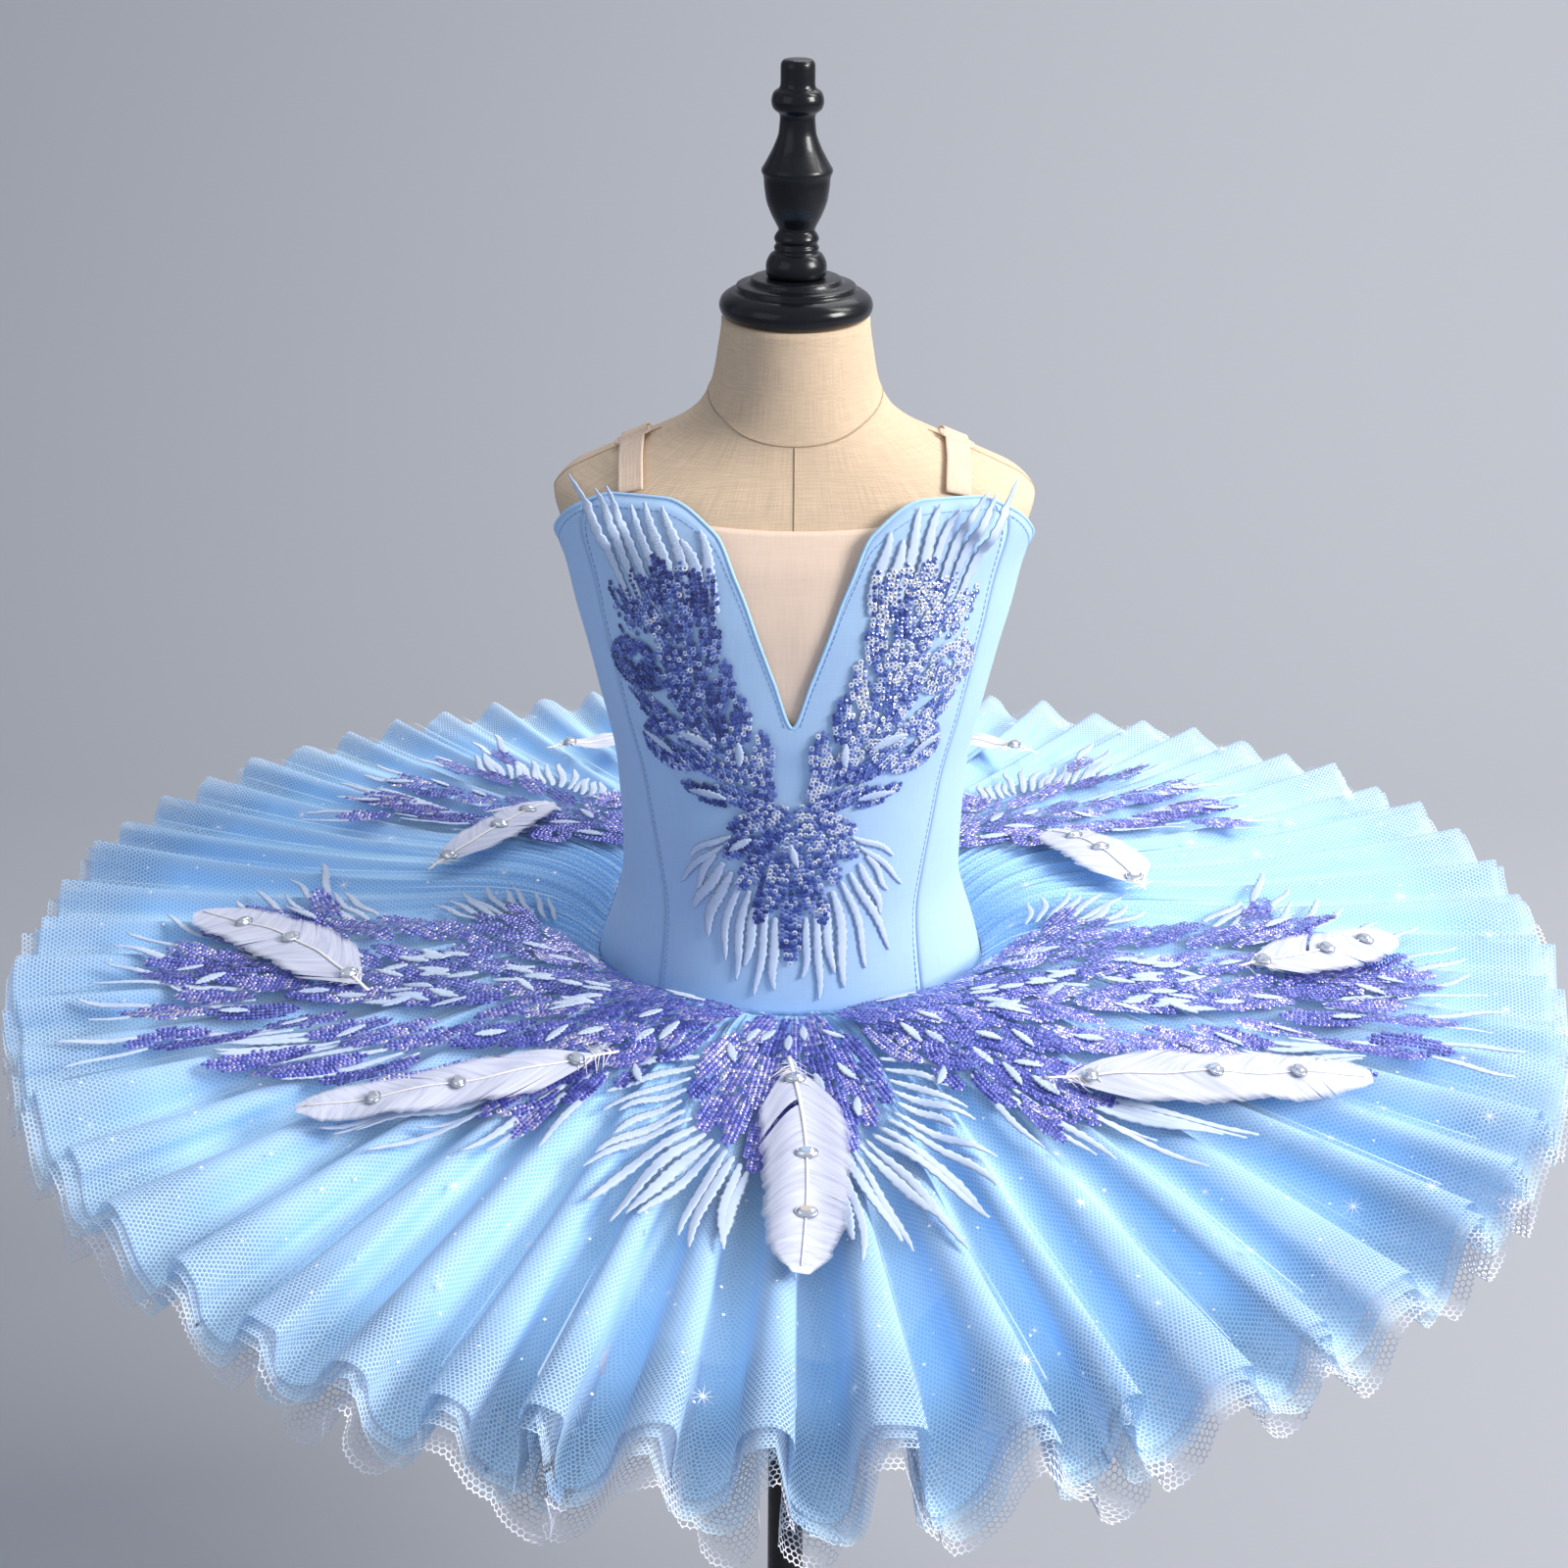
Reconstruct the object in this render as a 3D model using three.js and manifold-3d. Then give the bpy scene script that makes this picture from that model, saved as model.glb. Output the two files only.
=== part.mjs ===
// A child's classical ballet tutu on its dress form: a bodice with a deep V neck over a mesh insert,
// stretch shoulder straps, a flat pleated tulle skirt with a cover net, sequined wing trims and feathers.
// Millimetres, +Z up, the wearer's front towards -Y. The origin is on the floor, under the foot's centre.
import * as THREE from 'three';
import { mergeVertices } from 'three/addons/utils/BufferGeometryUtils.js';
import Module from 'manifold-3d';

const wasm = await Module();
wasm.setup();

// Driving sizes
const skirtHeight = 640; // floor to the line where the skirt joins the bodice
const skirtRadius = 430; // middle of the body to the longest hem
const clothWall = 1.2;
const seamGap = 0.3; // between pieces that are sewn or set together
const clothGap = 1.35; // between the form and the cloth it carries
const poleRadius = 11;
const footRadius = 150;
const footThickness = 10;
const neckTop = 362; // heights from here on are above the skirt line
const formBottom = -128;
const poleSocketDepth = 60;

// Finishes
const finish = (color, roughness, metalness = 0) => ({ color, roughness, metalness });
const finishes = {
  linen: finish(0xd9bf94, 0.9),
  lacquer: finish(0x101216, 0.25),
  blackMetal: finish(0x141414, 0.4, 0.6),
  bodiceCloth: finish(0x9cc6ee, 0.85),
  nudeMesh: finish(0xf0c9a6, 0.9),
  nudeElastic: finish(0xf1cfae, 0.8),
  blueNet: finish(0x9cccf6, 0.9),
  stiffNet: finish(0xd9d4dc, 0.9),
  coverNet: finish(0xaed4f8, 0.9),
  sequinTrim: finish(0x5560c4, 0.4, 0.3),
  feather: finish(0xeef0fb, 0.8),
};

const group = new THREE.Group();
const radians = THREE.MathUtils.degToRad;
const smooth = THREE.MathUtils.smoothstep;

function add(name, geometry, look) {
  const mesh = new THREE.Mesh(geometry, new THREE.MeshStandardMaterial(look));
  mesh.name = name;
  group.add(mesh);
  return mesh;
}

// Reads one column of a table at a key, along a smooth curve through its rows.
function readTable(table, key, column, value) {
  const last = table.length - 1;
  if (value <= table[0][key]) return table[0][column];
  if (value >= table[last][key]) return table[last][column];
  const i = table.findIndex((row, n) => n < last && value < table[n + 1][key]);
  const slope = (n) => {
    if (n <= 0 || n >= last) return 0;
    const before = (table[n][column] - table[n - 1][column]) / (table[n][key] - table[n - 1][key]);
    const after = (table[n + 1][column] - table[n][column]) / (table[n + 1][key] - table[n][key]);
    return before * after > 0 ? (2 * before * after) / (before + after) : 0;
  };
  const span = table[i + 1][key] - table[i][key];
  const t = (value - table[i][key]) / span;
  const rise = 3 * t * t - 2 * t * t * t;
  return table[i][column] * (1 - rise) + table[i + 1][column] * rise
    + slope(i) * span * (t * t * t - 2 * t * t + t) + slope(i + 1) * span * (t * t * t - t * t);
}

// A closed solid between two faces of a grid. point(i, j, face) gives a corner: face 0 inside, 1 outside.
// A grid that wraps joins its last column to its first.
function gridSolid(columns, rows, wraps, point) {
  const positions = [];
  const index = [];
  const at = (i, j, face) => ((i % columns) * rows + j) * 2 + face;
  for (let i = 0; i < columns; i++) {
    for (let j = 0; j < rows; j++) {
      positions.push(...point(i, j, 0), ...point(i, j, 1));
    }
  }
  const quad = (a, b, c, d) => index.push(a, b, c, a, c, d);
  const steps = wraps ? columns : columns - 1;
  for (let i = 0; i < steps; i++) {
    for (let j = 0; j < rows - 1; j++) {
      quad(at(i, j, 1), at(i + 1, j, 1), at(i + 1, j + 1, 1), at(i, j + 1, 1));
      quad(at(i, j, 0), at(i, j + 1, 0), at(i + 1, j + 1, 0), at(i + 1, j, 0));
    }
    quad(at(i, 0, 0), at(i + 1, 0, 0), at(i + 1, 0, 1), at(i, 0, 1));
    quad(at(i, rows - 1, 1), at(i + 1, rows - 1, 1), at(i + 1, rows - 1, 0), at(i, rows - 1, 0));
  }
  if (!wraps) {
    const end = columns - 1;
    for (let j = 0; j < rows - 1; j++) {
      quad(at(0, j, 0), at(0, j, 1), at(0, j + 1, 1), at(0, j + 1, 0));
      quad(at(end, j, 1), at(end, j, 0), at(end, j + 1, 0), at(end, j + 1, 1));
    }
  }
  return facingOut(positions, index);
}

// Turns the faces round if the solid's signed volume is negative.
function facingOut(positions, index) {
  const corner = (n) => new THREE.Vector3().fromArray(positions, index[n] * 3);
  let volume = 0;
  for (let n = 0; n < index.length; n += 3) {
    volume += corner(n).dot(corner(n + 1).cross(corner(n + 2)));
  }
  if (volume < 0) index.reverse();
  const geometry = new THREE.BufferGeometry();
  geometry.setAttribute('position', new THREE.Float32BufferAttribute(positions, 3));
  geometry.setIndex(index);
  return geometry;
}

// ---- The body that the form and the bodice share ----
// Sections by height: half width, depth in front and behind, and how square the section is.
const bodySections = [
  { height: -128, wide: 98, front: 72, back: 78, square: 2.2 },
  { height: -118, wide: 104, front: 78, back: 86, square: 2.2 },
  { height: -60, wide: 109, front: 82, back: 92, square: 2.2 },
  { height: -5, wide: 106, front: 82, back: 86, square: 2.2 },
  { height: 59, wide: 91, front: 75, back: 68, square: 2.1 },
  { height: 116, wide: 93.5, front: 76, back: 70, square: 2.15 },
  { height: 170, wide: 104, front: 80, back: 76, square: 2.3 },
  { height: 210, wide: 113, front: 80, back: 79, square: 2.4 },
  { height: 245, wide: 119, front: 75, back: 77, square: 2.5 },
  { height: 262, wide: 125, front: 69, back: 73, square: 2.5 },
  { height: 271, wide: 127, front: 65, back: 70, square: 2.45 },
  { height: 279, wide: 121, front: 61, back: 66, square: 2.4 },
  { height: 286, wide: 108, front: 57, back: 61, square: 2.3 },
  { height: 292, wide: 95, front: 53.5, back: 57, square: 2.2 },
  { height: 299, wide: 79, front: 50, back: 53, square: 2.1 },
  { height: 307, wide: 62, front: 47, back: 49, square: 2.05 },
  { height: 317, wide: 50, front: 44.5, back: 45, square: 2 },
  { height: 330, wide: 43.5, front: 42, back: 42, square: 2 },
  { height: 346, wide: 40.5, front: 40, back: 40, square: 2 },
  { height: neckTop, wide: 38.5, front: 38.5, back: 38.5, square: 2 },
];

// Distance from the body's axis to its skin at an angle from the front, moved out by off.
function bodyRadius(angle, height, off = 0) {
  const read = (column) => readTable(bodySections, 'height', column, height);
  const square = read('square');
  const depth = (Math.cos(angle) > 0 ? read('front') : read('back')) + off;
  const across = Math.abs(Math.sin(angle)) / (read('wide') + off);
  const along = Math.abs(Math.cos(angle)) / depth;
  return (across ** square + along ** square) ** (-1 / square);
}

const onBody = (angle, height, off) => {
  const r = bodyRadius(angle, height, off);
  return [r * Math.sin(angle), -r * Math.cos(angle), skirtHeight + height];
};

// ---- Dress form and stand ----
// Turned pieces have profiles of [radius, height], from the axis out and back to it.
const lathe = (profile, sides) => {
  const turned = new THREE.LatheGeometry(profile.map(([r, z]) => new THREE.Vector2(r, z)), sides);
  turned.rotateX(Math.PI / 2);
  turned.deleteAttribute('normal');
  turned.deleteAttribute('uv');
  const merged = mergeVertices(turned, 1e-4);
  return facingOut([...merged.attributes.position.array], [...merged.index.array]);
};

const asSolid = (geometry) => new wasm.Manifold(new wasm.Mesh({
  numProp: 3,
  vertProperties: new Float32Array(geometry.attributes.position.array),
  triVerts: new Uint32Array(geometry.index.array),
}));

function asGeometry(solid) {
  const { vertProperties, triVerts } = solid.getMesh();
  return facingOut([...vertProperties], [...triVerts]);
}

function makeStand() {
  const socket = 26; // depth of the pole's seat in the foot
  const bossTop = footThickness + socket + 4;
  add('foot', lathe([
    [0, 0], [footRadius, 0], [footRadius + 2, 3], [footRadius, 7], [footRadius - 8, footThickness],
    [30, footThickness + 2], [21, footThickness + 8], [19, bossTop], [poleRadius + seamGap, bossTop],
    [poleRadius + seamGap, footThickness + 4], [0, footThickness + 4],
  ], 24), finishes.blackMetal);
  const top = skirtHeight + formBottom + poleSocketDepth - seamGap;
  add('pole', lathe([
    [0, footThickness + 4 + seamGap], [poleRadius, footThickness + 4 + seamGap], [poleRadius, top], [0, top],
  ], 16), finishes.blackMetal);
}

function makeForm() {
  const waistRings = [15, 36, 80, 98]; // follow the hollow of the waist
  const rings = [...bodySections.map((row) => row.height), ...waistRings];
  rings.sort((a, b) => a - b);
  const columns = 28;
  const positions = [];
  const index = [];
  for (const height of rings) {
    for (let i = 0; i < columns; i++) positions.push(...onBody((i / columns) * 2 * Math.PI, height, 0));
  }
  const lowCentre = positions.length / 3;
  positions.push(0, 0, skirtHeight + formBottom, 0, 0, skirtHeight + neckTop);
  const at = (i, ring) => ring * columns + (i % columns);
  for (let i = 0; i < columns; i++) {
    for (let ring = 0; ring < rings.length - 1; ring++) {
      index.push(at(i, ring), at(i + 1, ring), at(i + 1, ring + 1));
      index.push(at(i, ring), at(i + 1, ring + 1), at(i, ring + 1));
    }
    index.push(lowCentre, at(i + 1, 0), at(i, 0));
    index.push(lowCentre + 1, at(i, rings.length - 1), at(i + 1, rings.length - 1));
  }
  const below = -5; // the cutter starts clear of the form
  const socketRadius = poleRadius + seamGap;
  const socket = lathe([
    [0, below], [socketRadius, below], [socketRadius, poleSocketDepth], [0, poleSocketDepth],
  ], 16);
  socket.translate(0, 0, skirtHeight + formBottom);
  const torso = asSolid(facingOut(positions, index)).subtract(asSolid(socket));
  add('form_torso', asGeometry(torso), finishes.linen);
}

// Turned neck cap and finial, from the neck's top up.
const capHeight = 21;
function makeNeckCap() {
  const bottom = skirtHeight + neckTop + seamGap;
  add('neck_cap', lathe([
    [0, 0], [36, 0], [39, 3], [40, 7], [38.5, 11], [34, 14], [31, 14.5], [31, 17.5], [24, 18],
    [23.5, capHeight], [0, capHeight],
  ], 24), finishes.lacquer).position.z = bottom;
  const finial = add('finial', lathe([
    [0, 0], [15.5, 0], [15.8, 7], [13.6, 11.5], [11, 13], [11.8, 15], [10.4, 17], [11.8, 19.5], [10.6, 22],
    [9, 24], [12.8, 31], [15.6, 38], [16.8, 46], [17, 51], [18.6, 54], [16.4, 57.5], [12.4, 65], [9.6, 72],
    [8.8, 82], [12.6, 84.5], [13.6, 88.5], [12.4, 93], [8.8, 95], [8.8, 107], [7, 109], [0, 109],
  ], 16), finishes.lacquer);
  finial.position.z = bottom + capHeight + seamGap;
}

// ---- What trims rest on ----
// A pile holds the facets laid so far, seen from the side that trims go on. Each corner is two places
// across and its height towards the viewer.
const skirtPile = [];
const bodicePile = [];

// Lays a grid's outer face on a pile, in the facets that gridSolid gives it.
function layGrid(pile, columns, rows, wraps, corner) {
  const lay = (...corners) => {
    pile.push({ facet: new THREE.Triangle(...corners), box: new THREE.Box2().setFromPoints(corners) });
  };
  for (let i = 0; i < (wraps ? columns : columns - 1); i++) {
    for (let j = 0; j < rows - 1; j++) {
      const next = (i + 1) % columns;
      lay(corner(i, j), corner(next, j), corner(next, j + 1));
      lay(corner(i, j), corner(next, j + 1), corner(i, j + 1));
    }
  }
}

function topOf(pile, x, y, floor) {
  let top = floor;
  const weights = new THREE.Vector3();
  for (const { facet: { a, b, c }, box } of pile) {
    if (x < box.min.x || x > box.max.x || y < box.min.y || y > box.max.y) continue;
    const flat = [a, b, c].map((corner) => new THREE.Vector3(corner.x, corner.y, 0));
    THREE.Triangle.getBarycoord(new THREE.Vector3(x, y, 0), ...flat, weights);
    if (Math.min(weights.x, weights.y, weights.z) < -1e-4) continue;
    top = Math.max(top, a.z * weights.x + b.z * weights.y + c.z * weights.z);
  }
  return top;
}

// ---- Bodice ----
// Top edge by angle from the front: the V, the two cups, the armholes and the low back.
const topEdge = [
  { angle: 0, height: 167 },
  { angle: 7, height: 193 },
  { angle: 19, height: 240 },
  { angle: 29, height: 268 },
  { angle: 48, height: 283 },
  { angle: 62, height: 282 },
  { angle: 74, height: 262 },
  { angle: 88, height: 236 },
  { angle: 104, height: 204 },
  { angle: 125, height: 186 },
  { angle: 180, height: 180 },
];
// The princess seam's angle from the front, by height.
const princessSeam = [
  { height: 0, angle: 47.5 },
  { height: 120, angle: 58 },
  { height: 200, angle: 62 },
  { height: 280, angle: 66 },
];
const sideSeamAngle = 96;
const degrees = (angle) => Math.abs(THREE.MathUtils.radToDeg(angle));
const topHeight = (angle) => readTable(topEdge, 'angle', 'height', degrees(angle));
const princessAngle = (height) => radians(readTable(princessSeam, 'height', 'angle', height));

// How far the bodice's inner face stands off the form: it clears the insert and its cups flare at the top.
const insertRoom = 2.7;
const cupFlare = 5;
function bodiceGap(angle, height) {
  const a = degrees(angle);
  const overInsert = (insertRoom - clothGap) * smooth(height, 135, 160) * (1 - smooth(a, 45, 60));
  const cups = cupFlare * smooth(height, 225, 285) * (1 - smooth(a, 84, 100));
  const sides = 1.5 * smooth(height, 190, 235) * smooth(a, 60, 80) * (1 - smooth(a, 95, 110));
  return clothGap + overInsert + cups + sides;
}

// A panel from its left edge to its right edge, each an angle at a height, up to the bodice's top edge.
function makePanel(name, columns, rows, leftEdge, rightEdge, spread = (t) => t) {
  const bottom = seamGap;
  const corner = (i, j, face) => {
    const across = spread(i / columns);
    let height = 0;
    let angle = 0;
    // The edges lean, so the angle and the top height are settled together.
    for (let pass = 0; pass < 6; pass++) {
      angle = leftEdge(height) * (1 - across) + rightEdge(height) * across;
      height = bottom + (topHeight(angle) - bottom) * (j / rows);
    }
    return onBody(angle, height, bodiceGap(angle, height) + face * clothWall);
  };
  add(name, gridSolid(columns + 1, rows + 1, false, corner), finishes.bodiceCloth);
  layGrid(bodicePile, columns + 1, rows + 1, false, (i, j) => {
    const [x, y, z] = corner(i, j, 1);
    return new THREE.Vector3(x, z - skirtHeight, -y);
  });
}

function makeBodice() {
  const half = seamGap / 2 / bodySections[0].front; // half a seam gap, as an angle on the body
  const princessRight = (height) => princessAngle(height) - half;
  const gather = (t) => 0.5 + 0.5 * Math.sign(t - 0.5) * Math.abs(2 * t - 1) ** 1.35; // closer beside the V
  makePanel('bodice_centre_front', 20, 10, (h) => -princessRight(h), princessRight, gather);
  const sideSeam = () => radians(sideSeamAngle) - half;
  makePanel('bodice_side_right', 6, 9, (h) => princessAngle(h) + half, sideSeam);
  makePanel('bodice_side_left', 6, 9, (h) => -princessAngle(h) - half, () => -sideSeam());
  makePanel('bodice_back_right', 10, 6, () => radians(sideSeamAngle) + half, () => Math.PI - half);
  makePanel('bodice_back_left', 10, 6, () => -radians(sideSeamAngle) - half, () => half - Math.PI);
}

// Nude mesh across the V, behind the cups.
function makeInsert() {
  const columns = 8;
  const rows = 6;
  const wall = 1;
  const bottom = 158;
  const top = 268;
  add('neck_insert', gridSolid(columns + 1, rows + 1, false, (i, j, face) => {
    const height = bottom + (top - bottom) * (j / rows);
    const half = 9 + 26 * smooth(height, bottom, top); // degrees either side of the centre
    const angle = radians(half) * (2 * (i / columns) - 1);
    return onBody(angle, height, seamGap + face * wall);
  }), finishes.nudeMesh);
}

// The brief that the skirt is sewn to: a hip band with high leg openings.
function makeBrief() {
  const columns = 36;
  const rows = 2;
  const crotch = -108;
  const rise = 52; // how much higher the leg line is at the sides
  add('brief', gridSolid(columns, rows + 1, true, (i, j, face) => {
    const angle = (i / columns) * 2 * Math.PI;
    const legLine = crotch + rise * Math.sin(angle) ** 2;
    return onBody(angle, legLine * (1 - j / rows), clothGap + face * clothWall);
  }), finishes.bodiceCloth);
}

// ---- Shoulder straps ----
const strapWidth = 13;
const strapWall = 1;
// Each strap runs in a fore-and-aft plane. turn is the angle round the shoulder, 0 in front, 90 on top.
const strapPath = [
  { turn: 58, across: 84 },
  { turn: 75, across: 85 },
  { turn: 95, across: 85 },
  { turn: 120, across: 83 },
  { turn: 150, across: 77 },
  { turn: 168, across: 71 },
  { turn: 182, across: 66 },
];
const strapCentre = 205; // height of the point that turn is measured about

function insideBody(x, y, height) {
  if (height > neckTop || height < formBottom) return false;
  return Math.hypot(x, y) < bodyRadius(Math.atan2(x, -y), height, 0);
}

// The body's skin in the strap's plane, by turn.
function strapPoint(across, turn, off) {
  const dy = -Math.cos(radians(turn));
  const dz = Math.sin(radians(turn));
  let inside = 0;
  let outside = 160;
  for (let pass = 0; pass < 30; pass++) {
    const reach = (inside + outside) / 2;
    if (insideBody(across, dy * reach, strapCentre + dz * reach)) inside = reach;
    else outside = reach;
  }
  return [across, dy * (inside + off), strapCentre + dz * (inside + off)];
}

function makeStraps() {
  const steps = 18;
  const first = strapPath[0].turn;
  const last = strapPath[strapPath.length - 1].turn;
  for (const [side, name] of [[-1, 'left'], [1, 'right']]) {
    const lift = 0.9; // clears the form between the strap's corners
    add(`strap_${name}`, gridSolid(3, steps + 1, false, (i, j, face) => {
      const turn = first + (last - first) * (j / steps);
      const across = readTable(strapPath, 'turn', 'across', turn) + (i - 1) * strapWidth / 2;
      const [x, y, height] = strapPoint(across, turn, lift + face * strapWall);
      return [side * x, y, skirtHeight + height];
    }), finishes.nudeElastic);
    const slider = { across: 85, turn: 86, step: 2.4, overhang: 2, wall: 1.4 };
    add(`strap_slider_${name}`, gridSolid(3, 3, false, (i, j, face) => {
      const across = slider.across + (i - 1) * (strapWidth / 2 + slider.overhang);
      const off = lift + strapWall + seamGap + face * slider.wall;
      const [x, y, height] = strapPoint(across, slider.turn + j * slider.step, off);
      return [side * x, y, skirtHeight + height];
    }), finishes.nudeElastic);
  }
}

// ---- Skirt ----
const pleats = 60;
const pleatCrowding = 0.2; // pleats are wider in front and closer behind
const puffHeight = 20; // rise of the net close to the bodice
const puffPlace = 0.18; // where it is highest, as a share of the way to the hem
const hemSides = 6; // height of the hem over the skirt line
const hemFront = -44;
const hemBack = -12;
const flatFront = 0.35; // half angle of the stretch in front where the net lies flatter
const foldDepth = 7.5; // half of a pleat's height at the hem
const frontExtra = 5.5; // how much more it is in front
// One pleat's section: its crest, then the foot of the fold under it. The cover net only sags between.
const netFold = [
  { along: 0, height: 1 },
  { along: 0.34, height: -1 },
];
const coverFold = [
  { along: 0, height: 1 },
  { along: 0.45, height: -0.1 },
];

const skirtStart = (angle, under = 0) => (
  bodyRadius(angle, -under - clothWall, clothGap + clothWall) + seamGap
);
const skirtReach = (angle, share, radius, under) => (
  skirtStart(angle, under) * (1 - share) + radius * share
);

function skirtBase(angle, share) {
  const ahead = Math.cos(angle);
  const turned = Math.atan2(Math.sin(angle), ahead);
  const puff = puffHeight * (1 - 0.5 * Math.exp(-((turned / flatFront) ** 2)));
  const rise = puff * (share / puffPlace) * Math.exp(1 - share / puffPlace);
  const lean = ((hemFront - hemBack) / 2) * ahead;
  const droop = ((hemFront + hemBack) / 2 - hemSides) * ahead ** 2;
  return rise + (hemSides + lean + droop) * share ** 1.5;
}

// Pleats are deeper in front, and a little uneven all round.
function pleatDepth(angle, share) {
  const uneven = 1 + 0.14 * Math.sin(7 * angle + 1.1) + 0.1 * Math.sin(17 * angle + 0.4);
  return (foldDepth + frontExtra * Math.max(0, Math.cos(angle)) ** 2) * uneven * share ** 1.2;
}

const pleatAngle = (turn) => turn * 2 * Math.PI + pleatCrowding * Math.sin(turn * 2 * Math.PI);

// Layers from the top down: how far each lies under the first pleated net at the body and at the hem,
// and where along the way its rows lie.
const coverClear = 2.6;
const fineRows = [0, 0.2, 0.55, 1];
const coarseRows = [0, 0.45, 1];
const coverRows = [0, 0.2, 0.55, 0.92];
const netLayers = [
  { name: 'cover_net', radius: skirtRadius - 6, under: -coverClear, spread: 0, rows: coverRows },
  { name: 'pleated_net_top', radius: skirtRadius - 6, under: 0, spread: 0, rows: fineRows },
  { name: 'pleated_net_middle', radius: skirtRadius, under: 4, spread: 2.5, rows: coarseRows },
  { name: 'stiff_net_under', radius: skirtRadius - 2, under: 8, spread: 6, rows: coarseRows },
];
const netLooks = { cover_net: finishes.coverNet, stiff_net_under: finishes.stiffNet };

function makeNet({ name, radius, under, spread, rows }) {
  const section = name === 'cover_net' ? coverFold : netFold;
  const columns = pleats * section.length;
  const corner = (i, j, face) => {
    const fold = section[i % section.length];
    const angle = pleatAngle((Math.floor(i / section.length) + fold.along) / pleats);
    const share = rows[j];
    const height = skirtBase(angle, share) - under - spread * share
      + pleatDepth(angle, share) * fold.height - (1 - face) * clothWall;
    const reach = skirtReach(angle, share, radius, under);
    return [reach * Math.sin(angle), -reach * Math.cos(angle), skirtHeight + height];
  };
  add(name, gridSolid(columns, rows.length, true, corner), netLooks[name] ?? finishes.blueNet);
  if (name === 'cover_net') {
    layGrid(skirtPile, columns, rows.length, true, (i, j) => new THREE.Vector3(...corner(i, j, 1)));
  }
}

// ---- Trims that lie on the skirt or the bodice ----
// A grid of corners in plan along a spine of { x, y, left, right } rows: half widths either side.
// Every other step is drawn in by the notch, so that the edge is toothed.
function trimPlan(spine, steps, across, notch) {
  const centre = new THREE.CatmullRomCurve3(spine.map((row) => new THREE.Vector3(row.x, row.y, 0)));
  const widths = new THREE.CatmullRomCurve3(spine.map((row) => new THREE.Vector3(row.left, row.right, 0)));
  return Array.from({ length: steps + 1 }, (_, i) => {
    const at = centre.getPoint(i / steps);
    const heading = centre.getTangent(i / steps);
    const width = widths.getPoint(i / steps);
    const teeth = i % 2 ? 1 - notch : 1;
    return Array.from({ length: across + 1 }, (unused, j) => {
      const side = 1 - (2 * j) / across; // +1 on the left of the spine
      const reach = side * teeth * Math.max(1.5, side > 0 ? width.x : width.y);
      return new THREE.Vector3(at.x - heading.y * reach, at.y + heading.x * reach, 0);
    });
  });
}

const restGap = 0.9; // a trim's clearance over what it lies on

// Lowers a plan onto a pile, then lifts the corners of each facet that would still cut in.
function settle(plan, pile, floor) {
  for (const corner of plan.flat()) {
    corner.z = topOf(pile, corner.x, corner.y, floor(corner.x, corner.y)) + restGap;
  }
  const parts = 9; // each facet is tried at this many steps along each side
  const passes = 5;
  for (let pass = 0; pass < passes; pass++) {
    for (let i = 0; i < plan.length - 1; i++) {
      for (let j = 0; j < plan[0].length - 1; j++) {
        const [a, b, c, d] = [plan[i][j], plan[i + 1][j], plan[i + 1][j + 1], plan[i][j + 1]];
        for (const corners of [[a, b, c], [a, c, d]]) {
          let short = 0;
          for (let u = 0; u <= parts; u++) {
            for (let v = 0; v <= parts - u; v++) {
              const point = new THREE.Vector3()
                .addScaledVector(corners[0], u / parts)
                .addScaledVector(corners[1], v / parts)
                .addScaledVector(corners[2], 1 - (u + v) / parts);
              short = Math.max(short, topOf(pile, point.x, point.y, -Infinity) + restGap - point.z);
            }
          }
          for (const corner of corners) corner.z += short * 0.8;
        }
      }
    }
  }
  return plan;
}

const trimThickness = 1.5;
const featherThickness = 1.2;
const stoneHeight = 2.6;

function makeSkirtTrim(name, spine, steps, across, thickness, look, notch = 0, stones = []) {
  const plan = settle(trimPlan(spine, steps, across, notch), skirtPile, () => -Infinity);
  add(name, gridSolid(steps + 1, across + 1, false, (i, j, face) => {
    const corner = plan[i][j];
    const stone = stones.includes(i) && j === across / 2 ? stoneHeight : 0;
    return [corner.x, corner.y, corner.z + face * (thickness + stone)];
  }), look);
  layGrid(skirtPile, steps + 1, across + 1, false, (i, j) => (
    plan[i][j].clone().setZ(plan[i][j].z + thickness)
  ));
}

// Sequined wings and fans, in plan. Each left wing has a mirrored right one.
const frontFan = [
  { x: 0, y: -114, left: 6, right: 6 },
  { x: 0, y: -160, left: 32, right: 32 },
  { x: 0, y: -220, left: 60, right: 60 },
  { x: 0, y: -285, left: 80, right: 80 },
  { x: 0, y: -340, left: 74, right: 74 },
  { x: 0, y: -378, left: 44, right: 44 },
];
const backScale = 0.92; // the hidden back has a slightly smaller fan
const backFan = frontFan.map(({ y, left, right }) => (
  { x: 0, y: -backScale * y, left: backScale * left, right: backScale * right }
));
const frontWing = [
  { x: -26, y: -112, left: 8, right: 6 },
  { x: -80, y: -118, left: 42, right: 24 },
  { x: -140, y: -112, left: 88, right: 66 },
  { x: -200, y: -98, left: 134, right: 104 },
  { x: -262, y: -82, left: 112, right: 112 },
  { x: -318, y: -58, left: 52, right: 96 },
  { x: -350, y: -44, left: 18, right: 52 },
];
const backWing = [
  { x: -98, y: 92, left: 8, right: 10 },
  { x: -130, y: 120, left: 42, right: 40 },
  { x: -172, y: 150, left: 76, right: 82 },
  { x: -214, y: 180, left: 88, right: 100 },
  { x: -246, y: 202, left: 56, right: 66 },
  { x: -264, y: 214, left: 20, right: 24 },
];
const mirrored = (spine) => spine.map(({ x, y, left, right }) => ({ x: -x, y, left: right, right: left }));

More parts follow.
